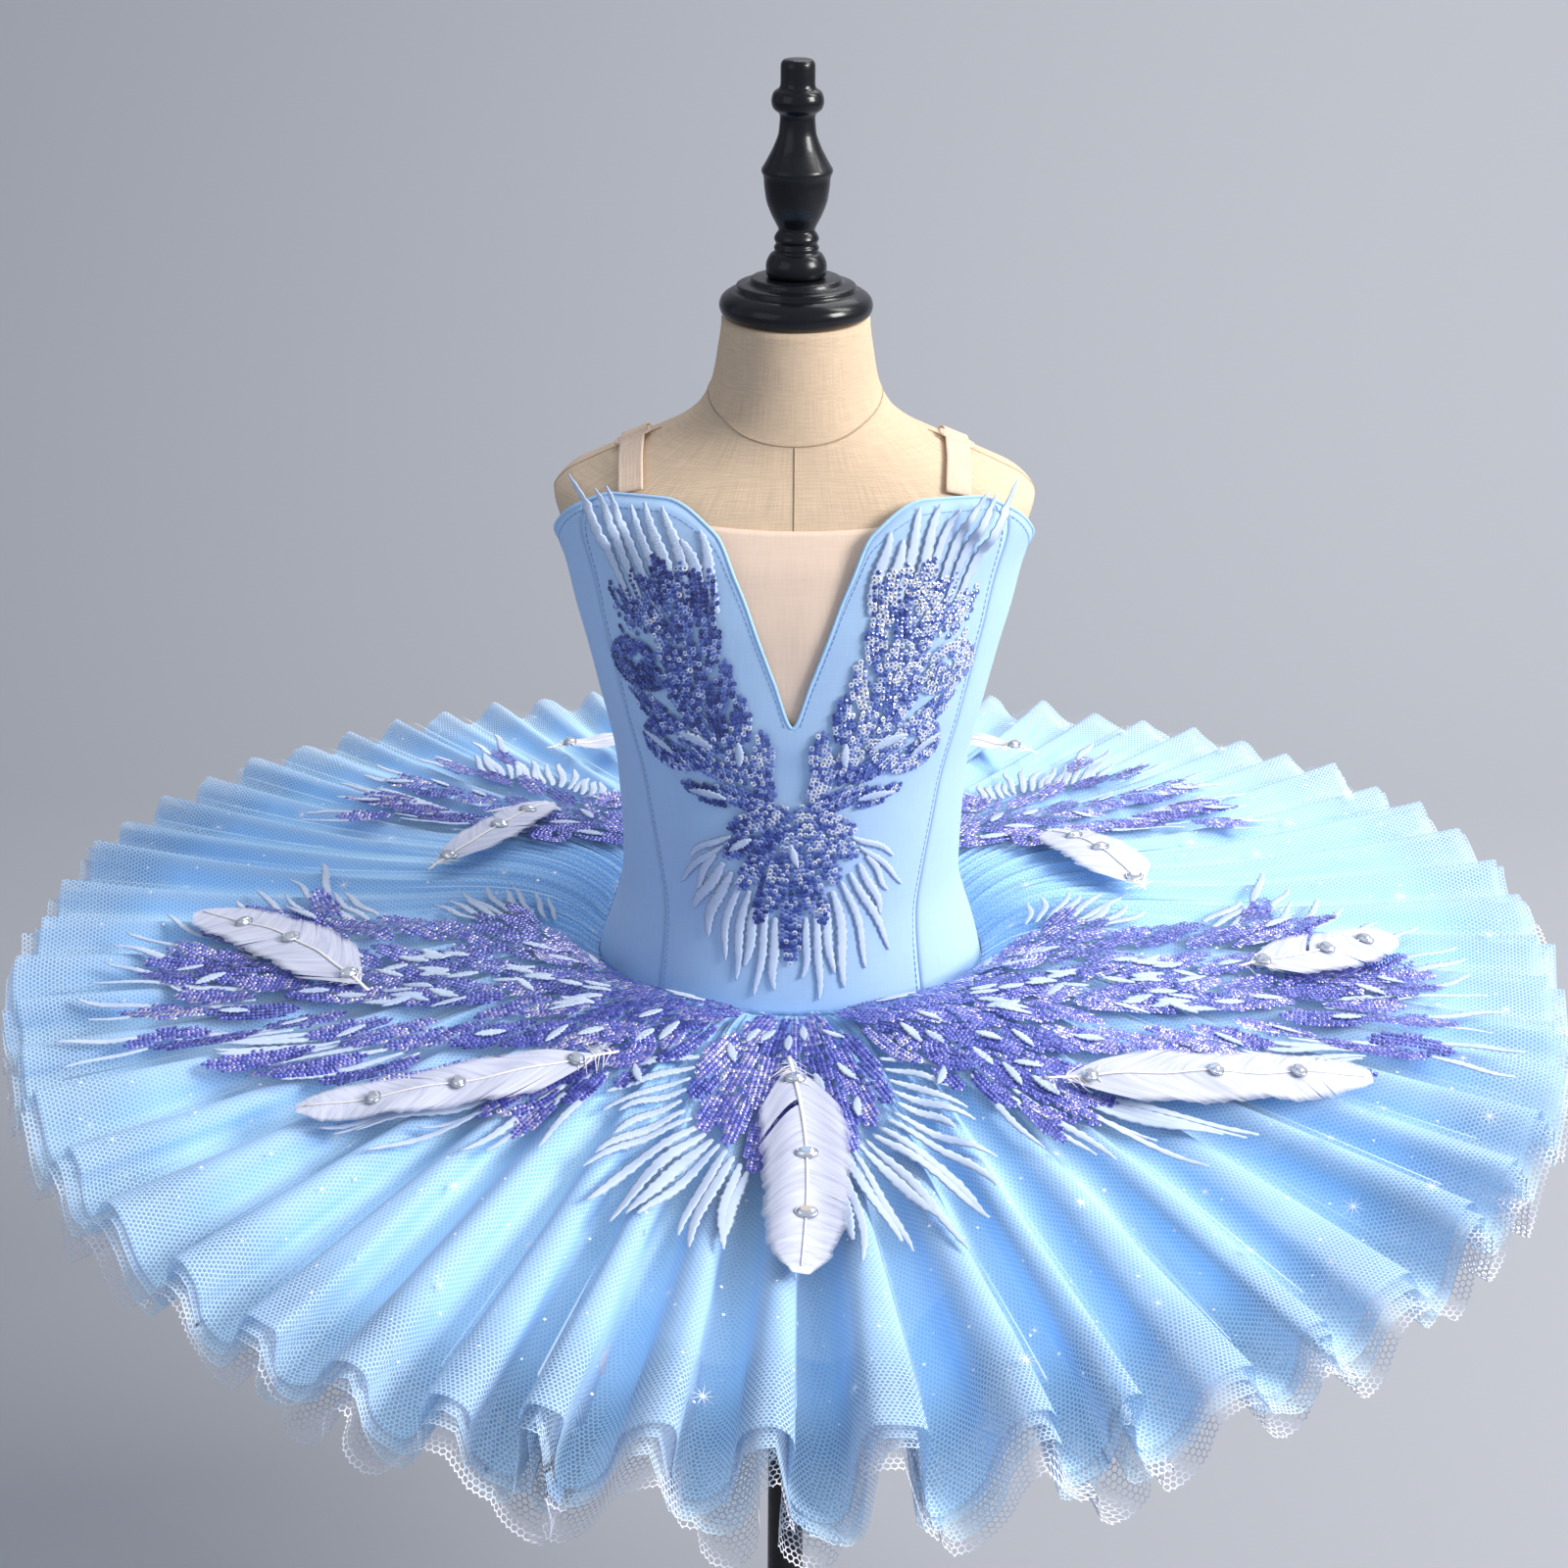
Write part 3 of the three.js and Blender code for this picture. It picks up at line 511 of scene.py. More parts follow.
def sequinLook(name):
    plan = sequinTones[name]
    tree, shader = newLook(name, plan["ramp"][2][1], 0.22, Metallic=0.45, Coat_Weight=1.0,
                           Coat_Roughness=0.07)
    tone = stored(tree, "tone")
    ramp = put(tree, "ShaderNodeValToRGB", None, Fac=tone)
    elements = ramp.color_ramp.elements
    while len(elements) < len(plan["ramp"]):
        elements.new(0.5)
    for element, (at, color) in zip(elements, plan["ramp"]):
        element.position = at
        element.color = (*color, 1)
    # Darker round the hole: the hole's edge, and painted shade in the cup's middle.
    color = blend(tree, mapped(tree, stored(tree, "rim"), 0.28, 0.55), plan["eye"], ramp.outputs[0])
    fill(tree, shader.inputs["Base Color"], color)
    fill(tree, shader.inputs["Roughness"], mapped(tree, tone, 0.0, 1.0, 0.34, 0.14))


satinPitch = 0.75 * mm


def satinLook(name, color, shadow):
    tree, shader = newLook(name, color, 0.42, Sheen_Weight=0.5, Sheen_Roughness=0.3)
    cloth = clothMap(tree)
    along, across = splitXyz(tree, cloth)[:2]
    slant = math2(tree, "ADD", along, math2(tree, "MULTIPLY", across, 0.5))
    threads = math2(tree, "SINE", math2(tree, "MULTIPLY", slant, tau / satinPitch))
    height = mixed(tree, threads, 0.5, noise(tree, cloth, 900.0, 2.0), 0.8)
    # Painted shade: darker in the grooves between the slanted threads.
    base = blend(tree, mapped(tree, height, -0.5, 0.6), shadow, color)
    # Painted shade in patches, where the satin's sheen does not catch the light.
    sheenShadePatches = noise(tree, objectMap(tree), 34.0, 2.0)
    color = blend(tree, mapped(tree, sheenShadePatches, 0.5, 0.75, 0.0, 0.45), base, shadow)
    fill(tree, shader.inputs["Base Color"], color)
    bumpInto(tree, shader, height, 0.0003, 0.7)


def featherLook():
    tree, shader = newLook("plume", (0.86, 0.87, 0.93), 0.6, Sheen_Weight=0.3, Sheen_Roughness=0.35,
                           Specular_IOR_Level=0.2)
    cloth = clothMap(tree)
    across = splitXyz(tree, cloth)[1]
    barbs = noise(tree, cloth, 1.0, 2.0, 0.6, (2600.0, 3.0, 1.0))
    clumps = noise(tree, cloth, 1.0, 2.0, 0.5, (260.0, 1.5, 1.0))
    shade = mixed(tree, barbs, 0.5, clumps, 0.5)
    color = blend(tree, mapped(tree, shade, 0.3, 0.62), (0.46, 0.48, 0.64), (0.70, 0.71, 0.82))
    fill(tree, shader.inputs["Base Color"], color)
    edge = mapped(tree, math2(tree, "ABSOLUTE", math2(tree, "SUBTRACT", across, 0.5)), 0.36, 0.5)
    parted = math2(tree, "SUBTRACT", barbs, math2(tree, "MULTIPLY", edge, 0.36))
    alpha = math2(tree, "MULTIPLY", mapped(tree, parted, 0.10, 0.28, 0.25, 1.0),
                  mapped(tree, edge, 0.0, 1.0, 0.97, 0.72))
    fill(tree, shader.inputs["Alpha"], alpha)
    bumpInto(tree, shader, shade, 0.00025, 0.6)


def plainLook(name, color, rough, **settings):
    tree, shader = newLook(name, color, rough, **settings)
    wear = noise(tree, objectMap(tree), 60.0, 4.0, 0.6)
    darker = tuple(c * 0.86 for c in color)
    fill(tree, shader.inputs["Base Color"], blend(tree, mapped(tree, wear, 0.35, 0.7), color, darker))
    fill(tree, shader.inputs["Roughness"], mapped(tree, wear, 0.3, 0.7, rough * 0.85, min(1.0, rough * 1.25)))
    bumpInto(tree, shader, wear, 0.0001, 0.3)


def makeLooks():
    groups["hexNet"] = netGroup()
    groups["weave"] = weaveGroup()
    for plan in netFinishes:
        netLook(plan)
    for plan in sheerFinishes:
        sheerLook(plan)
    clothLook("linen", (0.74, 0.555, 0.385), 0.62, 0.2, slub=0.6, shade=0.10, sheen=0.1)
    clothLook("linenSeam", (0.50, 0.37, 0.25), 0.62, 0.2, slub=0.6, shade=0.15)
    clothLook("bodiceKnit", (0.425, 0.605, 0.85), 0.5, 0.06, slub=0.1, shade=0.035)
    clothLook("bodiceEdge", (0.42, 0.66, 0.94), 0.45, 0.08, slub=0.15, shade=0.05)
    clothLook("nudeMesh", (0.84, 0.64, 0.50), 0.55, 0.05, slub=0.1, shade=0.04)
    clothLook("nudeElastic", (0.80, 0.60, 0.45), 0.7, 0.2, slub=0.05, shade=0.1)
    lacquerLook("lacquer", (0.006, 0.006, 0.008), 0.24)
    lacquerLook("enamel", (0.012, 0.012, 0.014), 0.36, 0.2)
    for name in sequinTones:
        sequinLook(name)
    satinLook("satinWhite", (0.68, 0.78, 0.94), (0.36, 0.49, 0.82))
    satinLook("satinThread", (0.2, 0.36, 0.66), (0.12, 0.22, 0.45))
    featherLook()
    plainLook("quillShaft", (0.92, 0.89, 0.84), 0.4)
    plainLook("nudePlastic", (0.80, 0.60, 0.45), 0.3)
    plainLook("gem", (0.86, 0.89, 0.95), 0.04, Metallic=0.75, Coat_Weight=0.8, Coat_Roughness=0.02)
    plainLook("gemCup", (0.62, 0.64, 0.68), 0.3, Metallic=1.0)
    plainLook("glitter", (0.93, 0.96, 1.0), 0.3, Metallic=0.3)
    newLook("paper", floorPlan["color"], 0.95)


def makeFloor():
    # A floor that curves up behind, like a roll of studio paper.
    bend = floorPlan["bend"]
    start = floorPlan["back"]
    path = [(floorPlan["front"], 0.0), (start, 0.0)]
    for a in np.linspace(0.1, math.pi / 2, 14):
        path.append((start + bend * math.sin(a), bend * (1 - math.cos(a))))
    path.append((start + bend, floorPlan["rise"]))
    wide = floorPlan["wide"]
    points = np.array([[(-wide, y, z), (wide, y, z)] for y, z in path])
    gridPiece("floor", points, looks["paper"])


# The body that form and bodice share.
bodySections = rowsOf(
    "height wide front back square",
    (-128, 98, 72, 78, 2.2), (-118, 104, 78, 86, 2.2), (-60, 109, 82, 92, 2.2), (-5, 106, 82, 86, 2.2),
    (59, 91, 75, 68, 2.1), (116, 93.5, 76, 70, 2.15), (170, 104, 80, 76, 2.3), (210, 113, 80, 79, 2.4),
    (245, 119, 75, 77, 2.5), (262, 125, 69, 73, 2.5), (271, 127, 65, 70, 2.45), (279, 121, 61, 66, 2.4),
    (286, 108, 57, 61, 2.3), (292, 95, 53.5, 57, 2.2), (299, 79, 50, 53, 2.1), (307, 62, 47, 49, 2.05),
    (317, 50, 44.5, 45, 2), (330, 43.5, 42, 42, 2), (346, 40.5, 40, 40, 2), (362, 38.5, 38.5, 38.5, 2))
bodyCurve = {name: readColumn(bodySections, "height", name) for name in bodySections[0] if name != "height"}
neckTop = 362
formBottom = -128
poleRadius = 11
clothGap = 1.35
clothWall = 1.2
seamGap = 0.3


def bodyRadius(angle, height, off=0.0):
    square = bodyCurve["square"](height)
    ahead = np.cos(angle)
    depth = np.where(ahead > 0, bodyCurve["front"](height), bodyCurve["back"](height)) + off
    across = np.abs(np.sin(angle)) / (bodyCurve["wide"](height) + off)
    along = np.abs(ahead) / depth
    return (across ** square + along ** square) ** (-1 / square)


def onBody(angle, height, off=0.0):
    angle, height = np.broadcast_arrays(np.asarray(angle, float), np.asarray(height, float))
    r = bodyRadius(angle, height, off)
    return np.stack([r * np.sin(angle), -r * np.cos(angle), lineHeight + height], -1) * mm


def outward(place, u, v, step=0.4):
    # The unit normal of a surface given by place(u, v).
    du = place(u + step, v) - place(u - step, v)
    dv = place(u, v + step) - place(u, v - step)
    normal = np.cross(du, dv)
    return normal / np.maximum(np.linalg.norm(normal, axis=-1, keepdims=True), 1e-12)


# a raised strip's section: places across it, as shares of its half width, and heights, as shares of its rise
stripAcross = [-1.0, -0.55, 0.55, 1.0, 0.9, -0.9]
stripRise = [0.0, 1.0, 1.0, 0.0, -0.15, -0.15]


def surfaceUps(place, angle, height, scale=95):
    # Outward directions of a surface round the body; scale turns its angles into millimetres.
    return outward(lambda u, v: place(u / scale, v), angle * scale, height)


def stripMesh(paths, ups, halfWidths, rise, serrate=0.0):
    # Raised strips along paths: lists of points, outward directions and half widths, all in metres.
    points, quads, caps, corners = [], [], [], []
    base = 0
    for path, up, half in zip(paths, ups, halfWidths):
        heading = np.gradient(path, axis=0)
        heading /= np.maximum(np.linalg.norm(heading, axis=1, keepdims=True), 1e-12)
        side = np.cross(heading, up)
        side /= np.maximum(np.linalg.norm(side, axis=1, keepdims=True), 1e-12)
        teeth = 1 + serrate * (np.arange(len(path)) % 2 * 2 - 1)
        run = np.concatenate([[0], np.cumsum(np.linalg.norm(np.diff(path, axis=0), axis=1))])
        ridge = np.minimum(rise, half * 0.9)
        grid = np.stack([path + side * (half * teeth * a)[:, None] + up * (ridge * b)[:, None]
                         for a, b in zip(stripAcross, stripRise)], 1)
        rows, columns = grid.shape[:2]
        points.append(grid.reshape(-1, 3))
        quads += gridFaces(rows, columns, True, base).tolist()
        u = np.repeat(run[:, None], columns + 1, 1)
        v = half[:, None] * np.array([*stripAcross, -1.0])
        corners.append(gridUv(u, v) + 0.01)
        first = list(range(base, base + columns))
        caps += [first[::-1], [(rows - 1) * columns + k for k in first]]
        base += rows * columns
    corners.append(np.full((sum(len(c) for c in caps), 2), 0.01))
    return np.concatenate(points), quads + caps, np.concatenate(corners)


def stripPiece(name, strips, rise, look, serrate=0.0):
    return settle(meshObject(name, *stripMesh(*strips, rise * mm, serrate), looks[look]))


# Dress form and stand.
stand = {"poleBottom": 14, "poleDeep": 60, "capHeight": 21, "columns": 120, "seamRise": 0.35}
footProfile = [(0, 0), (150, 0), (152, 3), (150, 7), (142, 10), (30, 12), (21, 18), (19, 40), (11.3, 40),
               (11.3, 14), (0, 14)]
capProfile = [(0, 0), (36, 0), (39, 3), (40, 7), (38.5, 11), (34, 14), (31, 14.5), (31, 17.5), (24, 18),
              (23.5, 21), (0, 21)]
finialProfile = [
    (0, 0), (15.5, 0), (15.8, 7), (13.6, 11.5), (11, 13), (11.8, 15), (10.4, 17), (11.8, 19.5), (10.6, 22),
    (9, 24), (12.8, 31), (15.6, 38), (16.8, 46), (17, 51), (18.6, 54), (16.4, 57.5), (12.4, 65), (9.6, 72),
    (8.8, 82), (12.6, 84.5), (13.6, 88.5), (12.4, 93), (8.8, 95), (8.8, 107), (7, 109), (0, 109)]
formSeams = rowsOf(
    # angle and height points of the covering's seams, and the half width of the line
    "path half",
    ([(0, 168), (0, 306)], 0.45),
    ([(180, -120), (180, 330)], 0.45),
    ([(-180, 330), (-120, 328), (-80, 324), (-50, 316), (-25, 308), (0, 306), (25, 308), (50, 316), (80, 324),
      (120, 328), (180, 330)], 0.5),
    ([(-90, 205), (-90, 303)], 0.5),
    ([(90, 205), (90, 303)], 0.5))


def seamPath(corners, samples=90):
    # A smooth run through (angle, height) corners.
    corners = np.array(corners, float)
    keys = np.linspace(0, 1, len(corners))
    t = np.linspace(0, 1, samples)
    angle, height = (np.interp(t, keys, corners[:, k]) for k in (0, 1))
    if len(corners) > 2:
        kernel = np.ones(9) / 9
        ends = np.pad(height, 4, mode="edge")
        height = np.convolve(ends, kernel, "valid")
    return np.radians(angle), height


def makeStand():
    settle(turned("footBase", footProfile, looks["enamel"], 128), ["foot"])
    bottom = stand["poleBottom"] + seamGap
    top = lineHeight + formBottom + stand["poleDeep"] - seamGap
    poleProfile = [(0, bottom), (poleRadius, bottom), (poleRadius, top), (0, top)]
    settle(turned("standPole", poleProfile, looks["enamel"], 64), ["pole"])
    capBottom = lineHeight + neckTop + seamGap
    cap = turned("neckCapTurned", capProfile, looks["lacquer"], 128, capBottom)
    settle(cap, ["neck_cap"])
    finialBottom = capBottom + stand["capHeight"] + seamGap
    finial = turned("finialTurned", finialProfile, looks["lacquer"], 96, finialBottom)
    settle(finial, ["finial"])


def makeForm():
    columns = stand["columns"]
    angle = np.arange(columns) / columns * tau
    heights = np.unique(np.concatenate([np.linspace(formBottom, 255, 50), np.linspace(255, 320, 44),
                                        np.linspace(320, neckTop, 14)]))
    skin = onBody(angle[None, :], heights[:, None])
    socket = (poleRadius + seamGap) * mm
    ring = np.stack([socket * np.sin(angle), -socket * np.cos(angle), np.zeros(columns)], -1)
    lowest = lineHeight + formBottom
    low = ring + [0, 0, lowest * mm]
    deep = ring + [0, 0, (lowest + stand["poleDeep"]) * mm]
    points = np.concatenate([[deep], [low], skin]).reshape(-1, 3)
    rows = len(heights) + 2
    faces = gridFaces(rows, columns, True).tolist() + fanEnds(rows, columns, len(points))
    ends = [[0, 0, (lowest + stand["poleDeep"]) * mm], [0, 0, (lineHeight + neckTop) * mm]]
    points = np.concatenate([points, ends])
    around = np.tile(np.arange(columns + 1) / columns * 0.56, (rows, 1))
    run = np.concatenate([[0, 0.05], 0.1 + (heights - formBottom) * mm])
    upward = np.repeat(run[:, None], columns + 1, 1)
    corners = np.concatenate([gridUv(around, upward), np.full((6 * columns, 2), 0.2)])
    settle(meshObject("formLinen", points, faces, corners, looks["linen"]), ["form_torso"])

    paths, ups, halves = [], [], []
    for plan in formSeams:
        a, h = seamPath(plan["path"])
        paths.append(onBody(a, h, 0.05))
        ups.append(surfaceUps(onBody, a, h, 80))
        halves.append(np.full(len(a), plan["half"] * mm))
    stripPiece("formSeams", (paths, ups, halves), stand["seamRise"], "linenSeam")


# Bodice.
topEdge = rowsOf(
    "angle height",
    (0, 167), (7, 193), (19, 240), (29, 268), (48, 283), (62, 282), (74, 262), (88, 236), (104, 204),
    (125, 186), (180, 180))
princessSeam = rowsOf(
    "height angle",
    (0, 47.5), (120, 58), (200, 62), (280, 66))
bodicePlan = {"sideSeam": 96.0, "insertRoom": 2.7, "cupFlare": 5.0, "sideEase": 1.5, "crease": 0.35,
              "seamDip": 0.45, "seamWidth": 1.6, "edgeHalf": 1.0, "edgeRise": 0.7, "stitch": 2.3,
              "stitchPitch": 3.4, "thread": 0.26}
topHeight = readColumn(topEdge, "angle", "height")
princessAt = readColumn(princessSeam, "height", "angle")


def bodiceGap(angle, height):
    a = np.abs(np.degrees(angle))
    overInsert = (bodicePlan["insertRoom"] - clothGap) * smooth(height, 135, 160) * (1 - smooth(a, 45, 60))
    cups = bodicePlan["cupFlare"] * smooth(height, 225, 285) * (1 - smooth(a, 84, 100))
    sides = bodicePlan["sideEase"] * smooth(height, 190, 235) * smooth(a, 60, 80) * (1 - smooth(a, 95, 110))
    return clothGap + overInsert + cups + sides


def onBodice(angle, height, lift=0.0):
    return onBody(angle, height, bodiceGap(angle, height) + clothWall + lift)


seamHalf = 0.04 / 72  # half a seam's width as an angle at the waist
seamLines = {
    "princess": lambda h: np.radians(princessAt(h)),
    "side": lambda h: np.radians(bodicePlan["sideSeam"]),
    "back": lambda h: math.pi,
}
bodicePanels = rowsOf(
    # the two edges as seams on the wearer's left (1) or right (-1), the grid, and the flat size in metres
    "piece node left right columns rows cut",
    ("bodiceCentreFront", "bodice_centre_front", (-1, "princess"), (1, "princess"), 90, 56, (0.200, 0.300)),
    ("bodiceSideRight", "bodice_side_right", (1, "princess"), (1, "side"), 30, 48, (0.090, 0.292)),
    ("bodiceSideLeft", "bodice_side_left", (-1, "side"), (-1, "princess"), 30, 48, (0.090, 0.292)),
    ("bodiceBackRight", "bodice_back_right", (1, "side"), (1, "back"), 40, 36, (0.150, 0.222)),
    ("bodiceBackLeft", "bodice_back_left", (-1, "back"), (-1, "side"), 40, 36, (0.150, 0.222)))


def panelGrid(plan):
    columns, rows = plan["columns"], plan["rows"]
    (leftSide, leftSeam), (rightSide, rightSeam) = plan["left"], plan["right"]

    def edges(height):
        left = leftSide * seamLines[leftSeam](height) + seamHalf
        return left, rightSide * seamLines[rightSeam](height) - seamHalf
    across = np.linspace(0, 1, columns + 1)[None, :]
    if plan["node"] == "bodice_centre_front":
        across = 0.5 + 0.5 * np.sign(across - 0.5) * np.abs(2 * across - 1) ** 1.35  # closer beside the V
    share = np.linspace(0, 1, rows + 1)[:, None]
    height = np.zeros((rows + 1, columns + 1))
    for _ in range(8):
        left, right = edges(height)
        angle = left * (1 - across) + right * across
        height = seamGap + (topHeight(np.abs(np.degrees(angle))) - seamGap) * share
    left, right = edges(height)
    toEdge = np.minimum(angle - left, right - angle) * 95  # millimetres
    return angle, height, toEdge


def makeBodice():
    for plan in bodicePanels:
        angle, height, toEdge = panelGrid(plan)
        dip = bodicePlan["seamDip"] * np.exp(-(toEdge / bodicePlan["seamWidth"]) ** 2)
        creases = bodicePlan["crease"] * np.sin(height / 9 + 3 * np.sin(angle * 2.3)) * smooth(height, 70, 20)
        creases = creases * smooth(np.abs(np.degrees(angle)), 30, 70)
        points = onBodice(angle, height, creases - dip)
        uv = (angle * 0.1 + 0.4, height * mm + 0.01)
        panel = gridPiece(plan["piece"], points, looks["bodiceKnit"], uv=uv)
        thicken(panel, clothWall - 0.2)
        settle(panel, [plan["node"]])
        area = gridArea(points) * 0.98
        wide, long = plan["cut"]
        say(f"{plan['piece']} area {area:.4f} of {wide * long:.4f}")

    # Rolled edge round the top, on the bodice's outer face.
    a = np.radians(np.linspace(-180, 180, 900))
    h = topHeight(np.abs(np.degrees(a))) - 0.4
    path = onBodice(a, h, -clothWall / 2)
    ups = surfaceUps(onBodice, a, h, 90)
    strip = [path + ups * 0.0002], [ups], [np.full(len(a), bodicePlan["edgeHalf"] * mm)]
    stripPiece("bodiceRolledEdge", strip, bodicePlan["edgeRise"], "bodiceEdge")


insertPlan = {"bottom": 158, "long": 110, "halfLow": 9, "widen": 26, "sag": 1.8, "pull": 0.25, "wall": 0.8,
              "columns": 60, "rows": 40, "cut": (0.096, 0.112)}


def makeInsert():
    plan = insertPlan
    share = np.linspace(0, 1, plan["rows"] + 1)[:, None]
    across = np.linspace(-1, 1, plan["columns"] + 1)[None, :]
    height = plan["bottom"] + plan["long"] * share
    half = plan["halfLow"] + plan["widen"] * smooth(height, plan["bottom"], plan["bottom"] + plan["long"])
    height = height + plan["sag"] * across ** 2 * share  # the top edge sags a little
    angle = np.radians(half * across)
    pull = plan["pull"] * np.sin(across * 9) * share * (1 - share)
    points = onBody(angle, height, seamGap + 1 + pull)
    insert = gridPiece("neckInsertMesh", points, looks["nudeMesh"], uv=(angle * 0.075 + 0.3, height * mm))
    thicken(insert, plan["wall"])
    settle(insert, ["neck_insert"])


briefPlan = {"legLow": -108, "legRise": 52, "ease": 0.4, "ripples": 23, "columns": 132, "rows": 14,
             "cut": (0.112, 0.62)}


def makeBrief():
    plan = briefPlan
    columns = plan["columns"]
    turns = np.arange(columns + 1) / columns * tau
    angle = turns[:-1]
    share = np.linspace(0, 1, plan["rows"] + 1)[:, None]
    legLine = plan["legLow"] + plan["legRise"] * np.sin(angle) ** 2
    height = legLine[None, :] * (1 - share)
    ease = plan["ease"] * np.sin(angle * plan["ripples"]) * (1 - share) ** 2
    points = onBody(np.broadcast_to(angle, height.shape), height, clothGap + clothWall + ease)
    u = np.repeat((turns * 0.1)[None, :], plan["rows"] + 1, 0) + 0.01
    v = np.concatenate([height, height[:, :1]], 1) * mm + 0.2
    brief = gridPiece("briefBand", points, looks["bodiceKnit"], wraps=True, uv=(u, v))
    thicken(brief, clothWall - 0.2)
    settle(brief, ["brief"])


# Straps.
strapPlan = {"width": 13, "wall": 1.0, "lift": 0.9, "centre": 205, "first": 58, "last": 182, "rows": 90,
             "columns": 13, "rib": 0.18}
sliderPlan = {"turn": 86, "across": 85, "long": 4.8, "margin": 2, "lift": 0.75, "barHalf": 1.15,
              "barRise": 1.1}
strapTurns = rowsOf(
    "turn across",
    (58, 84), (75, 85), (95, 85), (120, 83), (150, 77), (168, 71), (182, 66))
strapAcross = readColumn(strapTurns, "turn", "across")


def strapPoint(across, turn, off):
    across, turn = np.broadcast_arrays(np.asarray(across, float), np.asarray(turn, float))
    dy, dz = -np.cos(np.radians(turn)), np.sin(np.radians(turn))
    inside, outside = np.zeros(turn.shape), np.full(turn.shape, 160.0)
    for _ in range(30):
        reach = (inside + outside) / 2
        y, h = dy * reach, strapPlan["centre"] + dz * reach
        within = (np.hypot(across, y) < bodyRadius(np.arctan2(across, -y), h)) & (h < neckTop)
        inside, outside = np.where(within, reach, inside), np.where(within, outside, reach)
    reach = inside + off
    return np.stack([across, dy * reach, lineHeight + strapPlan["centre"] + dz * reach], -1) * mm


def makeStraps():
    half = strapPlan["width"] / 2
    for side, name in ((-1, "Left"), (1, "Right")):
        turn = np.linspace(strapPlan["first"], strapPlan["last"], strapPlan["rows"])[:, None]
        across = np.linspace(-1, 1, strapPlan["columns"])[None, :]
        edgeRib = strapPlan["rib"] * smooth(np.abs(across), 0.75, 0.95)
        off = strapPlan["lift"] + strapPlan["wall"] + edgeRib
        points = strapPoint(strapAcross(turn) + across * half, turn, off)
        run = np.concatenate([[0], np.cumsum(np.linalg.norm(np.diff(points[:, 6], axis=0), axis=1))])
        u = np.repeat(across * half * mm + 0.05, strapPlan["rows"], 0)
        v = np.repeat(run[:, None], strapPlan["columns"], 1)
        points[..., 0] *= side
        strap = gridPiece(f"strap{name}Elastic", points, looks["nudeElastic"], uv=(u, v), flip=side > 0)
        thicken(strap, strapPlan["wall"])
        settle(strap, [f"strap_{name.lower()}"])
        makeSlider(side, name)


def makeSlider(side, name):
    # A flat frame with two windows and a middle bar, moulded with round edges.
    half = strapPlan["width"] / 2 + sliderPlan["margin"]
    long = sliderPlan["long"]
    bars = [
        [(-half, 0), (half, 0)], [(-half, long), (half, long)], [(-half, 0), (-half, long)],
        [(half, 0), (half, long)], [(-half, long / 2), (half, long / 2)],
    ]
    lift = strapPlan["lift"] + strapPlan["wall"] + sliderPlan["lift"]
    paths, ups, halves = [], [], []
    for (x0, t0), (x1, t1) in bars:
        t = np.linspace(0, 1, 10)
        x = sliderPlan["across"] + x0 + (x1 - x0) * t
        turn = sliderPlan["turn"] + t0 + (t1 - t0) * t
        point = strapPoint(x, turn, lift)
        up = strapPoint(x, turn, lift + 1) - point
        up /= np.linalg.norm(up, axis=1, keepdims=True)
        paths.append(point * [side, 1, 1])
        ups.append(up * [side, 1, 1])
        halves.append(np.full(len(t), sliderPlan["barHalf"] * mm))
    points, faces, corners = stripMesh(paths, ups, halves, sliderPlan["barRise"] * mm)
    if side < 0:
        faces = [f[::-1] for f in faces]
        corners = reversedCorners(corners, faces)
    slider = meshObject(f"strapSlider{name}", points, faces, corners, looks["nudePlastic"])
    settle(slider, [f"strap_slider_{name.lower()}"])


def reversedCorners(corners, faces):
    out, at = [], 0
    for face in faces:
        out.extend(corners[at:at + len(face)][::-1])
        at += len(face)
    return np.array(out)


# Skirt.
skirt = {"pleats": 60, "radius": 424, "crowding": 0.2, "puff": 20, "puffPlace": 0.18, "hemSides": 6,
         "hemFront": -44, "hemBack": -12, "flatFront": 0.35, "fold": 7.5, "frontExtra": 5.5,
         "coverClear": 2.6}
pleatRandom = np.random.default_rng(7)
# one value for each pleat, the same in every layer: a middle value and how far it varies
pleatTable = {name: middle + vary * pleatRandom.uniform(-1, 1, skirt["pleats"]) for name, middle, vary in (
    ("tall", 1, 0.30), ("skew", 0.10, 0.10), ("long", 0, 3.6), ("dip", 0, 2.8), ("drift", 0, 0.22))}
pleatTable["wave"] = pleatRandom.uniform(0, tau, skirt["pleats"])
netLayers = rowsOf(
    # the node that it replaces, look, slot, hem radius, depth under the top net at the body and at the hem,
    # how far its pleats wander from the top net's, how far parts of its hem hang down, and its grid
    "name node look slot radius under spread wander hang seed samples rows",
    ("netTop", "pleated_net_top", "blueTop", "blue_net", 424, 0.0, 0.0, 0.05, 0, 11, 22, 46),
    ("netSecond", None, "blueSecond", "blue_net", 428, 2.0, 1.6, 0.14, 3, 12, 16, 30),
    ("netMiddle", "pleated_net_middle", "blueMiddle", "blue_net", 431, 4.0, 3.5, 0.22, 6, 13, 16, 28),
    ("netStiff", "stiff_net_under", "stiffWhite", "stiff_net", 434, 8.0, 7.0, 0.36, 13, 14, 14, 26))
coverLayer = {"radius": skirt["radius"], "under": -skirt["coverClear"], "spread": 0.0, "wander": 0.0,
              "hang": 0, "seed": 15, "samples": 12, "rows": 32, "keep": 0.95}
foldPlan = {"deeper": 1.42, "crisp": 0.955, "open": 1.12, "pinch": 0.15, "clear": 1.2}


def skirtStart(angle, under=0.0):
    return bodyRadius(angle, -under - clothWall, clothGap + clothWall) + seamGap


